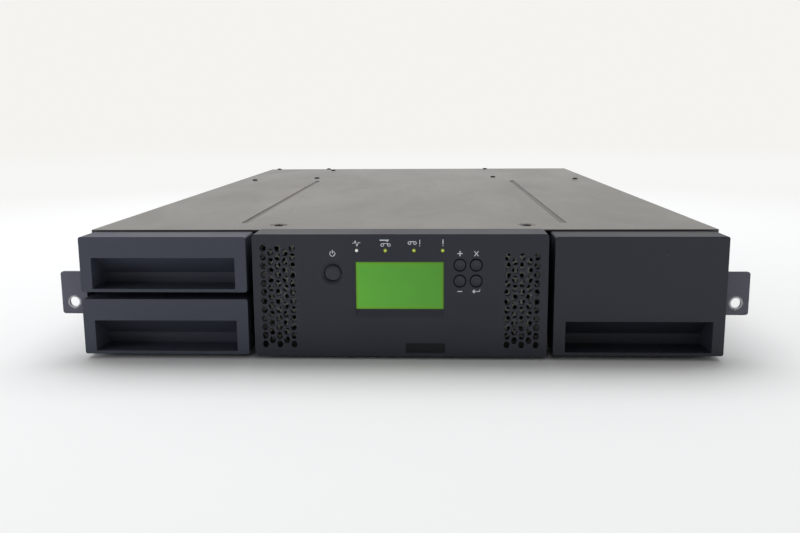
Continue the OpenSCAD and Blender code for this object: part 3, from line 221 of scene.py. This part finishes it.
def add_dust(finish, scale, share, colour):
    """Fine pale specks over a finish."""
    tree = finish.node_tree
    shader = tree.nodes["Principled BSDF"]
    base = shader.inputs["Base Color"].links[0].from_socket
    place = add_node(tree, "TexCoord").outputs["Object"]
    cells = add_node(tree, "TexVoronoi", {"Vector": place, "Scale": scale, "Randomness": 1.0})
    speck = add_node(tree, "MapRange", {"Value": cells.outputs["Distance"], "From Min": 0.05,
                                        "From Max": 0.11, "To Min": 1.0, "To Max": 0.0})
    pick = add_node(tree, "SeparateColor", {0: cells.outputs["Color"]})
    chosen = add_node(tree, "Math", {0: pick.outputs[0], 1: share}, operation="LESS_THAN")
    amount = add_node(tree, "Math", {0: speck.outputs[0], 1: chosen.outputs[0]}, operation="MULTIPLY")
    mixed = add_node(tree, "Mix", {0: amount.outputs[0], 6: base, 7: colour}, data_type="RGBA")
    tree.links.new(mixed.outputs[2], shader.inputs["Base Color"])


# One plastic in two copies: the left and station fronts take a lighter copy as painted light from the left
front_plastic_painted_lit = surface("textured front plastic", linear(62, 66, 79), linear(67, 71, 85), 0.56)
add_dust(front_plastic_painted_lit, 260, 0.012, linear(110, 110, 115))
dress(front_plastic_painted_lit, "left_magazine_front", "station_front")
# The right magazine's front takes a darker copy of the same plastic as painted shade
front_plastic_painted_shade = surface("textured front plastic, painted shade copy", linear(40, 42, 52), linear(44, 46, 57), 0.56)
add_dust(front_plastic_painted_shade, 260, 0.02, linear(110, 110, 115))
dress(front_plastic_painted_shade, "right_magazine_front")

# ---- Centre panel ----
# One moulding with the vents' hexagons, a dished power button and four keys. Its sides are
# blind; the icons are printed on it in pale grey, and a bare black label sticks under the display.

panel_plastic = surface("textured panel plastic", linear(37, 40, 51), linear(41, 44, 56), 0.52)
add_dust(panel_plastic, 300, 0.012, linear(110, 110, 115))
dress(panel_plastic, "front_panel")
button_plastic = surface("satin button plastic", linear(40, 43, 53), linear(43, 46, 57), 0.42, depth=0.000008,
                         edge=0.0005)
dress(button_plastic, "power_button", "key_plus", "key_cancel", "key_minus", "key_enter")

ink = surface("pale grey ink", linear(216, 220, 226), linear(228, 232, 238), 0.6, patch=300, depth=0.0,
              edge=0.0)


def printed(name, strokes, width, proud=0.06):
    """Ink lines on the panel's face from runs of points across and above the table, in mm."""
    bpy.ops.object.select_all(action="DESELECT")
    run = bpy.data.curves.new(name, "CURVE")
    run.dimensions = "3D"
    run.bevel_depth, run.bevel_resolution, run.use_fill_caps = width / 2000, 1, True
    for points in strokes:
        for (x0, z0), (x1, z1) in zip(points, points[1:]):
            # Each stroke runs a little past its ends, so that corners close
            past = 0.3 * width / math.hypot(x1 - x0, z1 - z0)
            spline = run.splines.new("POLY")
            spline.points.add(1)
            spline.points[0].co = ((x0 - past * (x1 - x0)) / 1000, 0, (z0 - past * (z1 - z0)) / 1000, 1)
            spline.points[1].co = ((x1 + past * (x1 - x0)) / 1000, 0, (z1 + past * (z1 - z0)) / 1000, 1)
    piece = bpy.data.objects.new(name, run)
    scene.collection.objects.link(piece)
    piece.select_set(True)
    bpy.context.view_layer.objects.active = piece
    bpy.ops.object.convert(target="MESH")
    bpy.ops.object.mode_set(mode="EDIT")
    bpy.ops.mesh.select_all(action="SELECT")
    bpy.ops.transform.resize(value=(1, proud / (width / 2), 1), center_override=(0, 0, 0))
    bpy.ops.transform.translate(value=(0, front_y, 0))
    bpy.ops.object.mode_set(mode="OBJECT")
    piece.data.materials.append(ink)
    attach(piece, "base")
    return piece


def arc(x, z, radius, start, end, steps=16):
    """Points round a centre, by angles from the upright towards the right."""
    turns = [math.radians(start + (end - start) * i / steps) for i in range(steps + 1)]
    return [(x + radius * math.sin(a), z + radius * math.cos(a)) for a in turns]


def bang(x, top, foot, dot):
    """An exclamation mark: a line over a dot."""
    return [[(x, top), (x, foot)], [(x, dot + 0.12), (x, dot - 0.12)]]


def reels(left, right, z, radius=0.95):
    """A tape's two reels with the tape over them."""
    tape = [(left, z + radius), (right, z + radius)]
    return [arc(left, z, radius, 0, 360), arc(right, z, radius, 0, 360), tape]


key_x = [41.15, 52.25]
light_x = [-29.355, -9.785, 9.785, 29.355]
light_z = 76.7
printed("icon_power", [arc(-45.9, 74.8, 1.75, 32, 328), [(-45.9, 77.2), (-45.9, 75.0)]], 0.6)
printed("icon_plus", [[(key_x[0] - 1.6, 74.85), (key_x[0] + 1.6, 74.85)],
                      [(key_x[0], 76.45), (key_x[0], 73.25)]], 0.7)
printed("icon_cancel", [[(key_x[1] - 1.3, 76.35), (key_x[1] + 1.3, 73.25)],
                        [(key_x[1] - 1.3, 73.25), (key_x[1] + 1.3, 76.35)]], 0.65)
printed("icon_minus", [[(key_x[0] - 1.45, 48.6), (key_x[0] + 1.45, 48.6)]], 0.75)
arrow = key_x[1] - 2.4
printed("icon_enter", [[(key_x[1] + 2.5, 49.8), (key_x[1] + 2.3, 48.6), (arrow + 1, 48.6)],
                       [(arrow, 48.6), (arrow + 1.2, 49.7), (arrow + 1.2, 47.5), (arrow, 48.6)],
                       [(arrow + 0.7, 49.1), (arrow + 0.7, 48.1)]], 0.6)
pulse = [(-2.6, 5.3), (-1.4, 5.5), (-0.8, 7.0), (0.4, 3.3), (1.4, 6.0), (2.6, 5.5)]
printed("icon_activity", [[(light_x[0] + x, light_z + z) for x, z in pulse]], 0.55)
brush = light_z + 7.4
printed("icon_clean", reels(light_x[1] - 1.95, light_x[1] + 2.65, light_z + 4.05) + [
    [(light_x[1] - 3.5, brush + 0.15), (light_x[1] + 2.5, brush + 0.15)],
    [(light_x[1] - 3.5, brush - 0.3), (light_x[1] + 2.2, brush - 0.3), (light_x[1] + 1.6, brush - 0.9),
     (light_x[1] + 0.6, brush - 0.5)]], 0.55)
printed("icon_media", reels(light_x[2] - 2.9, light_x[2] + 0.75, light_z + 5.4)
        + bang(light_x[2] + 4.0, light_z + 7.5, light_z + 4.8, light_z + 3.6), 0.6)
printed("icon_attention", bang(light_x[3] + 0.2, light_z + 7.6, light_z + 4.9, light_z + 3.7), 0.75)

bpy.ops.object.select_all(action="DESELECT")
label_box = [(4.0, 31.2), (-0.12, 0.25), (5.0, 11.9)]
centre = at(*[sum(side) / 2 for side in label_box])
bpy.ops.mesh.primitive_cube_add(size=1, location=centre, scale=[(b - a) / 1000 for a, b in label_box])
label = bpy.context.object
label.name = "bare_label"
bpy.ops.object.transform_apply(location=True, rotation=False, scale=True)
rounding = label.modifiers.new("corners", "BEVEL")
rounding.width, rounding.segments = 0.00005, 2
bpy.ops.object.modifier_apply(modifier="corners")
label_foil = surface("black label foil", linear(12, 13, 18), linear(17, 18, 24), 0.32, patch=120,
                     depth=0.000004, specular=0.25)
label.data.materials.append(label_foil)
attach(label, "base")

# ---- Display ----
# A lit green display behind a clear lens, olive where the light falls off along its edges, and four small
# light pipes over it, the first one clear and the others yellow-green, each with a painted glow and a painted
# highlight.

def edge_distance(tree, low, high, across):
    """How far in from the nearest edge of a face, in metres, on Object coordinates."""
    place = add_node(tree, "SeparateXYZ", {0: add_node(tree, "TexCoord").outputs["Object"]})
    gaps = []
    for axis in across:
        from_low = add_node(tree, "Math", {0: place.outputs[axis], 1: low["XYZ".index(axis)]},
                            operation="SUBTRACT")
        from_high = add_node(tree, "Math", {0: high["XYZ".index(axis)], 1: place.outputs[axis]},
                             operation="SUBTRACT")
        gaps.append(add_node(tree, "Math", {0: from_low.outputs[0], 1: from_high.outputs[0]},
                             operation="MINIMUM"))
    least = add_node(tree, "Math", {0: gaps[0].outputs[0], 1: gaps[1].outputs[0]}, operation="MINIMUM")
    return least.outputs[0]


lit = bpy.data.materials.new("lit green display")
lit.use_nodes = True
tree = lit.node_tree
shader = tree.nodes["Principled BSDF"]
window_w, window_h, window_foot = 60.7, 33.4, 35.7
window_low = at(-window_w / 2, 0, window_foot)
window_high = at(window_w / 2, 0, window_foot + window_h)
inward = edge_distance(tree, window_low, window_high, "XZ")
rim_share = add_node(tree, "Math", {0: inward, 1: 0.004}, operation="DIVIDE")
fade = add_node(tree, "ValToRGB", {0: rim_share.outputs[0]})
fade.color_ramp.elements[0].color = linear(38, 62, 18)
fade.color_ramp.elements[1].color = linear(78, 148, 46)
fade.color_ramp.elements.new(0.18).color = linear(86, 136, 28)
fade.color_ramp.elements.new(0.5).color = linear(82, 148, 42)
clouds = add_node(tree, "TexNoise", {"Vector": add_node(tree, "TexCoord").outputs["Object"], "Scale": 60.0,
                                     "Detail": 2.0})
across = add_node(tree, "SeparateXYZ", {0: add_node(tree, "TexCoord").outputs["Object"]})
shade = add_node(tree, "MapRange", {"Value": across.outputs[0], "From Min": window_low.x,
                                    "From Max": window_high.x, "To Min": 1.06, "To Max": 0.8})
uneven = add_node(tree, "MapRange", {"Value": clouds.outputs[0], "To Min": 0.94, "To Max": 1.06})
strength = add_node(tree, "Math", {0: shade.outputs[0], 1: uneven.outputs[0]}, operation="MULTIPLY")
tree.links.new(fade.outputs[0], shader.inputs["Emission Color"])
tree.links.new(strength.outputs[0], shader.inputs["Emission Strength"])
shader.inputs["Base Color"].default_value = linear(16, 30, 12)
shader.inputs["Roughness"].default_value = 0.16
shader.inputs["Specular IOR Level"].default_value = 0.25
dress(lit, "display_window", "display_module")

pipes = bpy.data.materials.new("light pipes")
pipes.use_nodes = True
tree = pipes.node_tree
shader = tree.nodes["Principled BSDF"]
place = add_node(tree, "SeparateXYZ", {0: add_node(tree, "TexCoord").outputs["Object"]})
light_step = (light_x[1] - light_x[0]) / 1000
clear = add_node(tree, "Math", {0: place.outputs[0], 1: at((light_x[0] + light_x[1]) / 2, 0, 0).x},
                 operation="LESS_THAN")
# Each pipe is palest in its middle and darker to its rim: a painted highlight on its dome with painted shade
# round it
nearest = add_node(tree, "Math", {0: place.outputs[0], 1: light_step / 2}, operation="ADD")
nearest = add_node(tree, "Math", {0: nearest.outputs[0], 1: -light_step / 2, 2: light_step / 2},
                   operation="WRAP")
above = add_node(tree, "Math", {0: place.outputs[2], 1: light_z / 1000 + 0.0002}, operation="SUBTRACT")
apart = add_node(tree, "CombineXYZ", {0: nearest.outputs[0], 1: above.outputs[0]})
apart = add_node(tree, "VectorMath", {0: apart.outputs[0]}, operation="LENGTH").outputs["Value"]
rim = towards(tree, apart, 0.0005, 0.0015, 0, 1)
yellow_pipe_with_glint = add_node(tree, "Mix", {0: rim, 6: linear(186, 196, 84), 7: linear(96, 112, 14)}, data_type="RGBA")
clear_pipe_with_glint = add_node(tree, "Mix", {0: rim, 6: linear(236, 236, 230), 7: linear(70, 72, 76)}, data_type="RGBA")
pipe_colour_and_glint = add_node(tree, "Mix", {0: clear.outputs[0], 6: yellow_pipe_with_glint.outputs[2], 7: clear_pipe_with_glint.outputs[2]},
                data_type="RGBA")
tree.links.new(pipe_colour_and_glint.outputs[2], shader.inputs["Base Color"])
tree.links.new(pipe_colour_and_glint.outputs[2], shader.inputs["Emission Color"])
# A painted glow: the pipes shine by their own colour
shader.inputs["Emission Strength"].default_value = 0.45
shader.inputs["Roughness"].default_value = 0.25
shader.inputs["Subsurface Weight"].default_value = 0.2
shader.inputs["Subsurface Radius"].default_value = (0.001, 0.001, 0.0005)
edge = add_node(tree, "Bevel", {"Radius": 0.0005}, samples=4)
tree.links.new(edge.outputs[0], shader.inputs["Normal"])
dress(pipes, "status_lights")
board_green = surface("solder mask", linear(12, 60, 34), linear(16, 72, 40), 0.35, patch=200, grain=900)
dress(board_green, "panel_board")

# ---- Top cover ----
# Bent steel sheet under a charcoal powder coat, rubbed and smudged by stacking. Seen low, the
# satin paint mirrors the white sweep behind the unit.

groove_x, groove_ends = 120.5, (67, 484)
scratch_ends, scratch_start, scratch_lean, scratch_bow = (128, 642), -0.0965, -0.0561, 0.0511
dimple_x, dimple_y = 92, 54.5
cover_paint = surface("charcoal powder coat", linear(76, 73, 70), linear(85, 82, 78), 0.35, patch=5,
                      grain=900, depth=0.00002, edge=0.0006, rough_spread=0.03, specular=0.75)
tree = cover_paint.node_tree
shader = tree.nodes["Principled BSDF"]
place = add_node(tree, "TexCoord").outputs["Object"]
spread = add_node(tree, "SeparateXYZ", {0: place})
# Cloudy rub marks, mostly along the sheet, change its gloss a little
along = add_node(tree, "Mapping", {0: place, "Scale": (9, 3, 1)})
rubs = add_node(tree, "TexNoise", {"Vector": along.outputs[0], "Scale": 1.6, "Detail": 5.0, "Roughness": 0.65,
                                   "Distortion": 0.6})
rough = add_node(tree, "MapRange", {"Value": rubs.outputs[0], "From Min": 0.3, "From Max": 0.7,
                                    "To Min": 0.33, "To Max": 0.40})
# The paint is duller along the two pressed grooves
off_middle = add_node(tree, "Math", {0: spread.outputs[0]}, operation="ABSOLUTE")
from_groove = add_node(tree, "Math", {0: off_middle.outputs[0], 1: groove_x / 1000}, operation="SUBTRACT")
from_groove = add_node(tree, "Math", {0: from_groove.outputs[0]}, operation="ABSOLUTE")
in_run = add_node(tree, "Math", {0: towards(tree, spread.outputs[1], at(0, groove_ends[0], 0).y - 0.002,
                                            at(0, groove_ends[0], 0).y, 0, 1),
                                 1: towards(tree, spread.outputs[1], at(0, groove_ends[1], 0).y,
                                            at(0, groove_ends[1], 0).y + 0.002, 1, 0)}, operation="MULTIPLY")
dull = add_node(tree, "Math", {0: towards(tree, from_groove.outputs[0], 0.0012, 0.0032, 0.14, 0),
                               1: in_run.outputs[0], 2: rough.outputs[0]}, operation="MULTIPLY_ADD")
tree.links.new(dull.outputs[0], shader.inputs["Roughness"])
# One fine scratch curves away beside the left groove
run_y = add_node(tree, "MapRange", {"Value": spread.outputs[1], "From Min": at(0, scratch_ends[0], 0).y,
                                    "From Max": at(0, scratch_ends[1], 0).y, "To Min": 0.0,
                                    "To Max": 1.0}, clamp=False)
bend = add_node(tree, "Math", {0: run_y.outputs[0], 1: scratch_bow, 2: scratch_lean},
                operation="MULTIPLY_ADD")
line_x = add_node(tree, "Math", {0: bend.outputs[0], 1: run_y.outputs[0], 2: scratch_start},
                  operation="MULTIPLY_ADD")
beside = add_node(tree, "Math", {0: spread.outputs[0], 1: line_x.outputs[0]}, operation="SUBTRACT")
beside = add_node(tree, "Math", {0: beside.outputs[0]}, operation="ABSOLUTE")
within = add_node(tree, "Math", {0: run_y.outputs[0], 1: 0.5, 2: 0.5}, operation="COMPARE")
line = add_node(tree, "Math", {0: towards(tree, beside.outputs[0], 0.0002, 0.0007, 0.55, 0),
                               1: within.outputs[0]}, operation="MULTIPLY")
# Dust has gathered in front of the two front dimples
dust_spots = []
for x in (-dimple_x, dimple_x):
    here = add_node(tree, "VectorMath", {0: place, 1: at(x, dimple_y, 89)}, operation="DISTANCE")
    dust_spots.append(towards(tree, here.outputs["Value"], 0.003, 0.011, 0.5, 0))
gathered = add_node(tree, "Math", {0: dust_spots[0], 1: dust_spots[1]}, operation="MAXIMUM")
broken = add_node(tree, "TexNoise", {"Vector": place, "Scale": 330.0, "Detail": 4.0, "Roughness": 0.7})
patchy = add_node(tree, "Math", {0: towards(tree, broken.outputs[0], 0.5, 0.62, 0, 1),
                                 1: gathered.outputs[0]}, operation="MULTIPLY")
base = shader.inputs["Base Color"].links[0].from_socket
dusty = add_node(tree, "Mix", {0: patchy.outputs[0], 6: base, 7: linear(186, 184, 180)}, data_type="RGBA")
marked = add_node(tree, "Mix", {0: line.outputs[0], 6: dusty.outputs[2], 7: linear(22, 22, 22)},
                  data_type="RGBA")
tree.links.new(marked.outputs[2], shader.inputs["Base Color"])
add_dust(cover_paint, 90, 0.02, linear(120, 118, 114))
dress(cover_paint, "top_cover")

# ---- Case screws ----
# Black pan-head screws with six-lobed sockets hold the cover and the ears. One is turned, and
# the others are copies of it at the places of the plain ones.

steel_black = surface("black oxide", linear(30, 30, 31), linear(48, 47, 46), 0.38, patch=700, grain=2500,
                      metallic=0.6, edge=0.0002)


def face_selection(piece, wanted):
    """Selects just the faces of a piece in edit mode that a test on them picks."""
    bpy.ops.object.mode_set(mode="EDIT")
    bpy.ops.mesh.select_mode(type="FACE")
    bpy.ops.mesh.select_all(action="DESELECT")
    bpy.ops.object.mode_set(mode="OBJECT")
    for face in piece.data.polygons:
        face.select = wanted(face)
    bpy.ops.object.mode_set(mode="EDIT")


def screw_head(radius, height, socket, lobes=6):
    """A pan head standing on the origin along Z, with a lobed socket in its top."""
    bpy.ops.object.select_all(action="DESELECT")
    bpy.ops.mesh.primitive_cylinder_add(vertices=36, radius=radius, depth=height, location=(0, 0, height / 2))
    head = bpy.context.object
    top = lambda face: face.normal.z > 0.9
    face_selection(head, top)
    bpy.ops.transform.translate(value=(0, 0, -height * 0.45))
    bpy.ops.mesh.extrude_region_move(TRANSFORM_OT_translate={"value": (0, 0, height * 0.3)})
    bpy.ops.transform.resize(value=(0.88, 0.88, 1), center_override=(0, 0, 0))
    bpy.ops.mesh.extrude_region_move(TRANSFORM_OT_translate={"value": (0, 0, height * 0.15)})
    bpy.ops.transform.resize(value=(0.78, 0.78, 1), center_override=(0, 0, 0))
    bpy.ops.mesh.inset(thickness=radius * 0.686 - socket)
    bpy.ops.object.mode_set(mode="OBJECT")
    # Every third point of the socket's rim is pushed in, which makes its lobes
    rim = [v for v in head.data.vertices if v.select]
    for point in rim:
        turn = math.atan2(point.co.y, point.co.x)
        shrink = 0.88 + 0.16 * math.cos(lobes * turn)
        point.co.x, point.co.y = point.co.x * shrink, point.co.y * shrink
    bpy.ops.object.mode_set(mode="EDIT")
    bpy.ops.mesh.extrude_region_move(TRANSFORM_OT_translate={"value": (0, 0, -height * 0.6)})
    bpy.ops.transform.resize(value=(0.9, 0.9, 1), center_override=(0, 0, 0))
    bpy.ops.object.mode_set(mode="OBJECT")
    bpy.ops.object.shade_smooth_by_angle(angle=0.7)
    return head


def set_out(pattern, name, places, body, finish, slot, *stood_for):
    """Copies a pattern to places and directions, as one piece, and takes the pattern away."""
    copies = []
    for spot, facing in places:
        copy = pattern.copy()
        copy.data = pattern.data.copy()
        scene.collection.objects.link(copy)
        turn = Vector(facing).to_track_quat("Z", "X").to_matrix().to_4x4()
        copy.data.transform(Matrix.Translation(spot) @ turn)
        copies.append(copy)
    bpy.data.objects.remove(pattern)
    bpy.ops.object.select_all(action="DESELECT")
    for copy in copies:
        copy.select_set(True)
    bpy.context.view_layer.objects.active = copies[0]
    if len(copies) > 1:
        bpy.ops.object.join()
    piece = bpy.context.view_layer.objects.active
    piece.name = name
    piece.data.materials.clear()
    piece.data.materials.append(finish)
    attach(piece, body)
    if stood_for:
        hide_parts(*stood_for)
    return piece


def loose_parts(name):
    """Boxes of a node's separate solids, low and high corners."""
    mesh = nodes[name].data
    corners = {}
    for v in mesh.vertices:
        corners.setdefault(tuple(round(c, 6) for c in v.co), len(corners))
    index = [corners[tuple(round(c, 6) for c in v.co)] for v in mesh.vertices]
    root = list(range(len(corners)))

    def find(i):
        while root[i] != i:
            root[i] = root[root[i]]
            i = root[i]
        return i

    for face in mesh.polygons:
        first = find(index[face.vertices[0]])
        for other in face.vertices[1:]:
            root[find(index[other])] = first
            first = find(first)
    boxes = {}
    for spot, i in corners.items():
        low, high = boxes.setdefault(find(i), ([9, 9, 9], [-9, -9, -9]))
        for axis in range(3):
            low[axis], high[axis] = min(low[axis], spot[axis]), max(high[axis], spot[axis])
    return [(Vector(low), Vector(high)) for low, high in boxes.values()]


head_radius, head_height, screw_places = 0.0032, 0.0015, []
for low, high in loose_parts("case_screws"):
    middle, size = (low + high) / 2, high - low
    if size.z < size.x:
        screw_places.append(((middle.x, middle.y, high.z - head_height), (0, 0, 1)))
    elif middle.x > 0:
        screw_places.append(((high.x - head_height, middle.y, middle.z), (1, 0, 0)))
    else:
        screw_places.append(((low.x + head_height, middle.y, middle.z), (-1, 0, 0)))
set_out(screw_head(head_radius, head_height, 0.0014), "cover_screws", screw_places, "base", steel_black,
        "dark_screw", "case_screws")

# ---- Rack ears ----
# Dark painted steel angles, with a bright metallic ring painted round each hole.

ear_paint = surface("dark satin paint", linear(82, 83, 98), linear(92, 94, 110), 0.3, patch=25, grain=700,
                    depth=0.00002, edge=0.0005)
tree = ear_paint.node_tree
shader = tree.nodes["Principled BSDF"]
base = shader.inputs["Base Color"].links[0].from_socket
ear_hole = at(232.55, 0, 38)
place = add_node(tree, "SeparateXYZ", {0: add_node(tree, "TexCoord").outputs["Object"]})
across = add_node(tree, "Math", {0: place.outputs[0]}, operation="ABSOLUTE")
across = add_node(tree, "Math", {0: across.outputs[0], 1: ear_hole.x}, operation="SUBTRACT")
above = add_node(tree, "Math", {0: place.outputs[2], 1: ear_hole.z}, operation="SUBTRACT")
flat = add_node(tree, "CombineXYZ", {0: across.outputs[0], 1: above.outputs[0]})
reach = add_node(tree, "VectorMath", {0: flat.outputs[0]}, operation="LENGTH")
ragged = add_node(tree, "TexNoise", {"Vector": add_node(tree, "TexCoord").outputs["Object"], "Scale": 900.0,
                                     "Detail": 3.0})
edge_noise = add_node(tree, "Math", {0: ragged.outputs[0], 1: 0.0022}, operation="MULTIPLY")
ring_reach = add_node(tree, "Math", {0: reach.outputs["Value"], 1: edge_noise.outputs[0]}, operation="ADD")
# A bright metallic ring with a ragged edge round each hole
bright_ring_mask = add_node(tree, "MapRange", {"Value": ring_reach.outputs[0], "From Min": 0.0051, "From Max": 0.0062,
                                   "To Min": 1.0, "To Max": 0.0})
mixed = add_node(tree, "Mix", {0: bright_ring_mask.outputs[0], 6: base, 7: linear(176, 176, 178)}, data_type="RGBA")
tree.links.new(mixed.outputs[2], shader.inputs["Base Color"])
tree.links.new(bright_ring_mask.outputs[0], shader.inputs["Metallic"])
dress(ear_paint, "rack_ear_left", "rack_ear_right")

# ---- Chassis sheet ----
# Folded zinc-plated steel with the mill's fine grain, and the perforated screen behind the vents.

zinc = surface("zinc-plated sheet", linear(150, 152, 155), linear(176, 177, 178), 0.42, patch=40, grain=500,
               depth=0.000012, edge=0.0004, stretch=(1, 0.08, 1), metallic=0.85)
dress(zinc, "chassis_base", "rear_bulkhead", "magazine_rails", "carriage", "turntable", "picker_bridge",
      "lift_plate", "drive_sled", "power_supply", "control_card")
screen_metal = surface("perforated screen", linear(172, 172, 168), linear(196, 196, 192), 0.45, patch=60,
                       depth=0.00001, metallic=0.35)
dress(screen_metal, "front_bulkhead")

# ---- Magazines ----
# Satin black mouldings: a floor with two runners, an outer wall with long windows, dividers and
# shelves for three rows of cartridges.

magazine_plastic = surface("satin magazine plastic", linear(40, 41, 44), linear(50, 51, 54), 0.45, patch=20,
                           grain=1100, depth=0.000015)
dress(magazine_plastic, "left_magazine_shell", "left_magazine_dividers", "left_magazine_shelves",
      "station_tray", "right_magazine_shell", "right_magazine_dividers", "right_magazine_shelves")

# ---- Robot ----
# A sheet carriage with an acetal rack and pinion, a ground rod, black gear motors, a belt-driven
# turntable, two lead screws, polished posts and a moulded tray with a gripper.

acetal = surface("natural acetal", linear(214, 212, 202), linear(226, 224, 216), 0.4, patch=30,
                 depth=0.000006)
dress(acetal, "floor_rack", "carriage_pinion")
polished = surface("ground steel", linear(196, 197, 199), linear(208, 209, 210), 0.16, patch=60, grain=2500,
                   depth=0.000003, metallic=1.0, edge=0.0002, rough_spread=0.04)
dress(polished, "guide_rod", "picker_posts", "turn_pulley")
motor_black = surface("black motor paint", linear(30, 30, 32), linear(40, 40, 42), 0.4, patch=60)
dress(motor_black, "carriage_motors")
belt_rubber = surface("belt rubber", linear(20, 20, 20), linear(30, 30, 30), 0.7, patch=200, grain=900,
                      depth=0.00005, edge=0.0002)
dress(belt_rubber, "turn_belt")
picker_plastic = surface("picker plastic", linear(52, 54, 58), linear(62, 64, 68), 0.45)
dress(picker_plastic, "picker_tray", "gripper")
finger_plastic = surface("finger plastic", linear(196, 178, 92), linear(206, 190, 106), 0.4)
dress(finger_plastic, "finger_left", "finger_right")

# Lead screws with a four-millimetre thread, run by a screw modifier and cut off flat
thread_steel = surface("rolled screw steel", linear(150, 151, 154), linear(170, 171, 173), 0.28, patch=200,
                       grain=2500, depth=0.000003, metallic=1.0, edge=0.0001)
for side in ("left", "right"):
    low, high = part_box("lead_screw_" + side)
    middle, radius = (low + high) / 2, (high.x - low.x) / 2
    lead, root = 0.004, radius * 0.8
    bpy.ops.object.select_all(action="DESELECT")
    bpy.ops.mesh.primitive_circle_add(vertices=4, radius=radius, fill_type="NOTHING")
    screw = bpy.context.object
    screw.name = "lead_thread_" + side
    profile = [(root, 0), (root, lead * 0.3), (radius, lead * 0.45), (radius, lead * 0.85), (root, lead)]
    bpy.ops.object.mode_set(mode="EDIT")
    bpy.ops.mesh.select_all(action="SELECT")
    bpy.ops.mesh.delete(type="VERT")
    bpy.ops.object.mode_set(mode="OBJECT")
    screw.data.from_pydata([(r, 0, z) for r, z in profile], [(i, i + 1) for i in range(4)], [])
    turns = math.ceil((high.z - low.z) / lead) + 2
    spiral = screw.modifiers.new("thread", "SCREW")
    spiral.angle, spiral.screw_offset, spiral.iterations = 2 * math.pi, lead, turns
    spiral.steps = spiral.render_steps = 20
    spiral.use_merge_vertices, spiral.merge_threshold = True, 0.00002
    bpy.ops.object.modifier_apply(modifier="thread")
    bpy.ops.object.mode_set(mode="EDIT")
    bpy.ops.mesh.select_all(action="SELECT")
    bpy.ops.mesh.remove_doubles(threshold=0.00002)
    bpy.ops.transform.translate(value=(middle.x, middle.y, low.z - lead * 1.5))
    for cut_z, keep in ((low.z, 1), (high.z, -1)):
        bpy.ops.mesh.select_all(action="SELECT")
        bpy.ops.mesh.bisect(plane_co=(0, 0, cut_z), plane_no=(0, 0, keep), use_fill=True, clear_inner=True)
    bpy.ops.mesh.select_all(action="SELECT")
    bpy.ops.mesh.normals_make_consistent(inside=False)
    bpy.ops.object.mode_set(mode="OBJECT")
    bpy.ops.object.shade_smooth_by_angle(angle=0.6)
    screw.data.materials.append(thread_steel)
    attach(screw, "lead_screw_" + side)
    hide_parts("lead_screw_" + side)

# ---- Rear modules ----
# The tape drive on its sled, the power supply and the controller slide out to the rear. Each has
# a plated plate and two captive screws with knurled heads; the drive has a blue pull tab.

drive_grey = surface("drive case", linear(138, 138, 138), linear(150, 150, 149), 0.45, metallic=0.4)
dress(drive_grey, "tape_drive")
port_shell = surface("plated port shell", linear(190, 190, 188), linear(205, 205, 203), 0.3, metallic=0.9,
                     edge=0.0002)
dress(port_shell, "drive_port", "control_ports")
fan_plastic = surface("fan plastic", linear(24, 24, 25), linear(32, 32, 33), 0.42)
dress(fan_plastic, "drive_fan", "drive_fan_rotor", "supply_fan", "supply_fan_rotor")
handle_blue = surface("blue touch point", linear(26, 66, 148), linear(34, 78, 164), 0.42)
dress(handle_blue, "drive_handle")
inlet_black = surface("inlet plastic", linear(20, 20, 20), linear(28, 28, 28), 0.5)
dress(inlet_black, "mains_inlet")

knurled = surface("knurled steel", linear(176, 177, 178), linear(196, 197, 198), 0.3, patch=300,
                  metallic=0.95, edge=0.0001)


def thumbscrew():
    """A captive screw standing on the origin along Z: collar, knurled head and slot."""
    bpy.ops.object.select_all(action="DESELECT")
    bpy.ops.mesh.primitive_cylinder_add(vertices=48, radius=0.0041, depth=0.0066, location=(0, 0, 0.0057))
    head = bpy.context.object
    face_selection(head, lambda face: abs(face.normal.z) < 0.1)
    bpy.ops.mesh.inset(thickness=0.00012, use_individual=True)
    bpy.ops.mesh.extrude_region_shrink_fatten(TRANSFORM_OT_shrink_fatten={"value": 0.00035})
    bpy.ops.object.mode_set(mode="OBJECT")
    face_selection(head, lambda face: face.normal.z > 0.9 and face.center.z > 0.0089)
    bpy.ops.mesh.extrude_region_move(TRANSFORM_OT_translate={"value": (0, 0, 0.0009)})
    bpy.ops.transform.resize(value=(0.86, 0.86, 1), center_override=(0, 0, 0))
    bpy.ops.mesh.inset(thickness=0.0012)
    bpy.ops.mesh.extrude_region_move(TRANSFORM_OT_translate={"value": (0, 0, -0.0008)})
    bpy.ops.object.mode_set(mode="OBJECT")
    face_selection(head, lambda face: face.normal.z < -0.9 and face.center.z < 0.0025)
    bpy.ops.mesh.inset(thickness=0.0013)
    bpy.ops.mesh.extrude_region_move(TRANSFORM_OT_translate={"value": (0, 0, -0.0024)})
    bpy.ops.object.mode_set(mode="OBJECT")
    bpy.ops.object.shade_smooth_by_angle(angle=0.35)
    return head


for node, body in (("drive_screws", "drive_sled"), ("supply_screws", "power_supply"),
                   ("control_screws", "controller")):
    places = [(((low.x + high.x) / 2, low.y, (low.z + high.z) / 2), (0, 1, 0))
              for low, high in loose_parts(node)]
    name = node.replace("screws", "thumbscrews")
    set_out(thumbscrew(), name, places, body, knurled, "thumbscrew_steel", node)
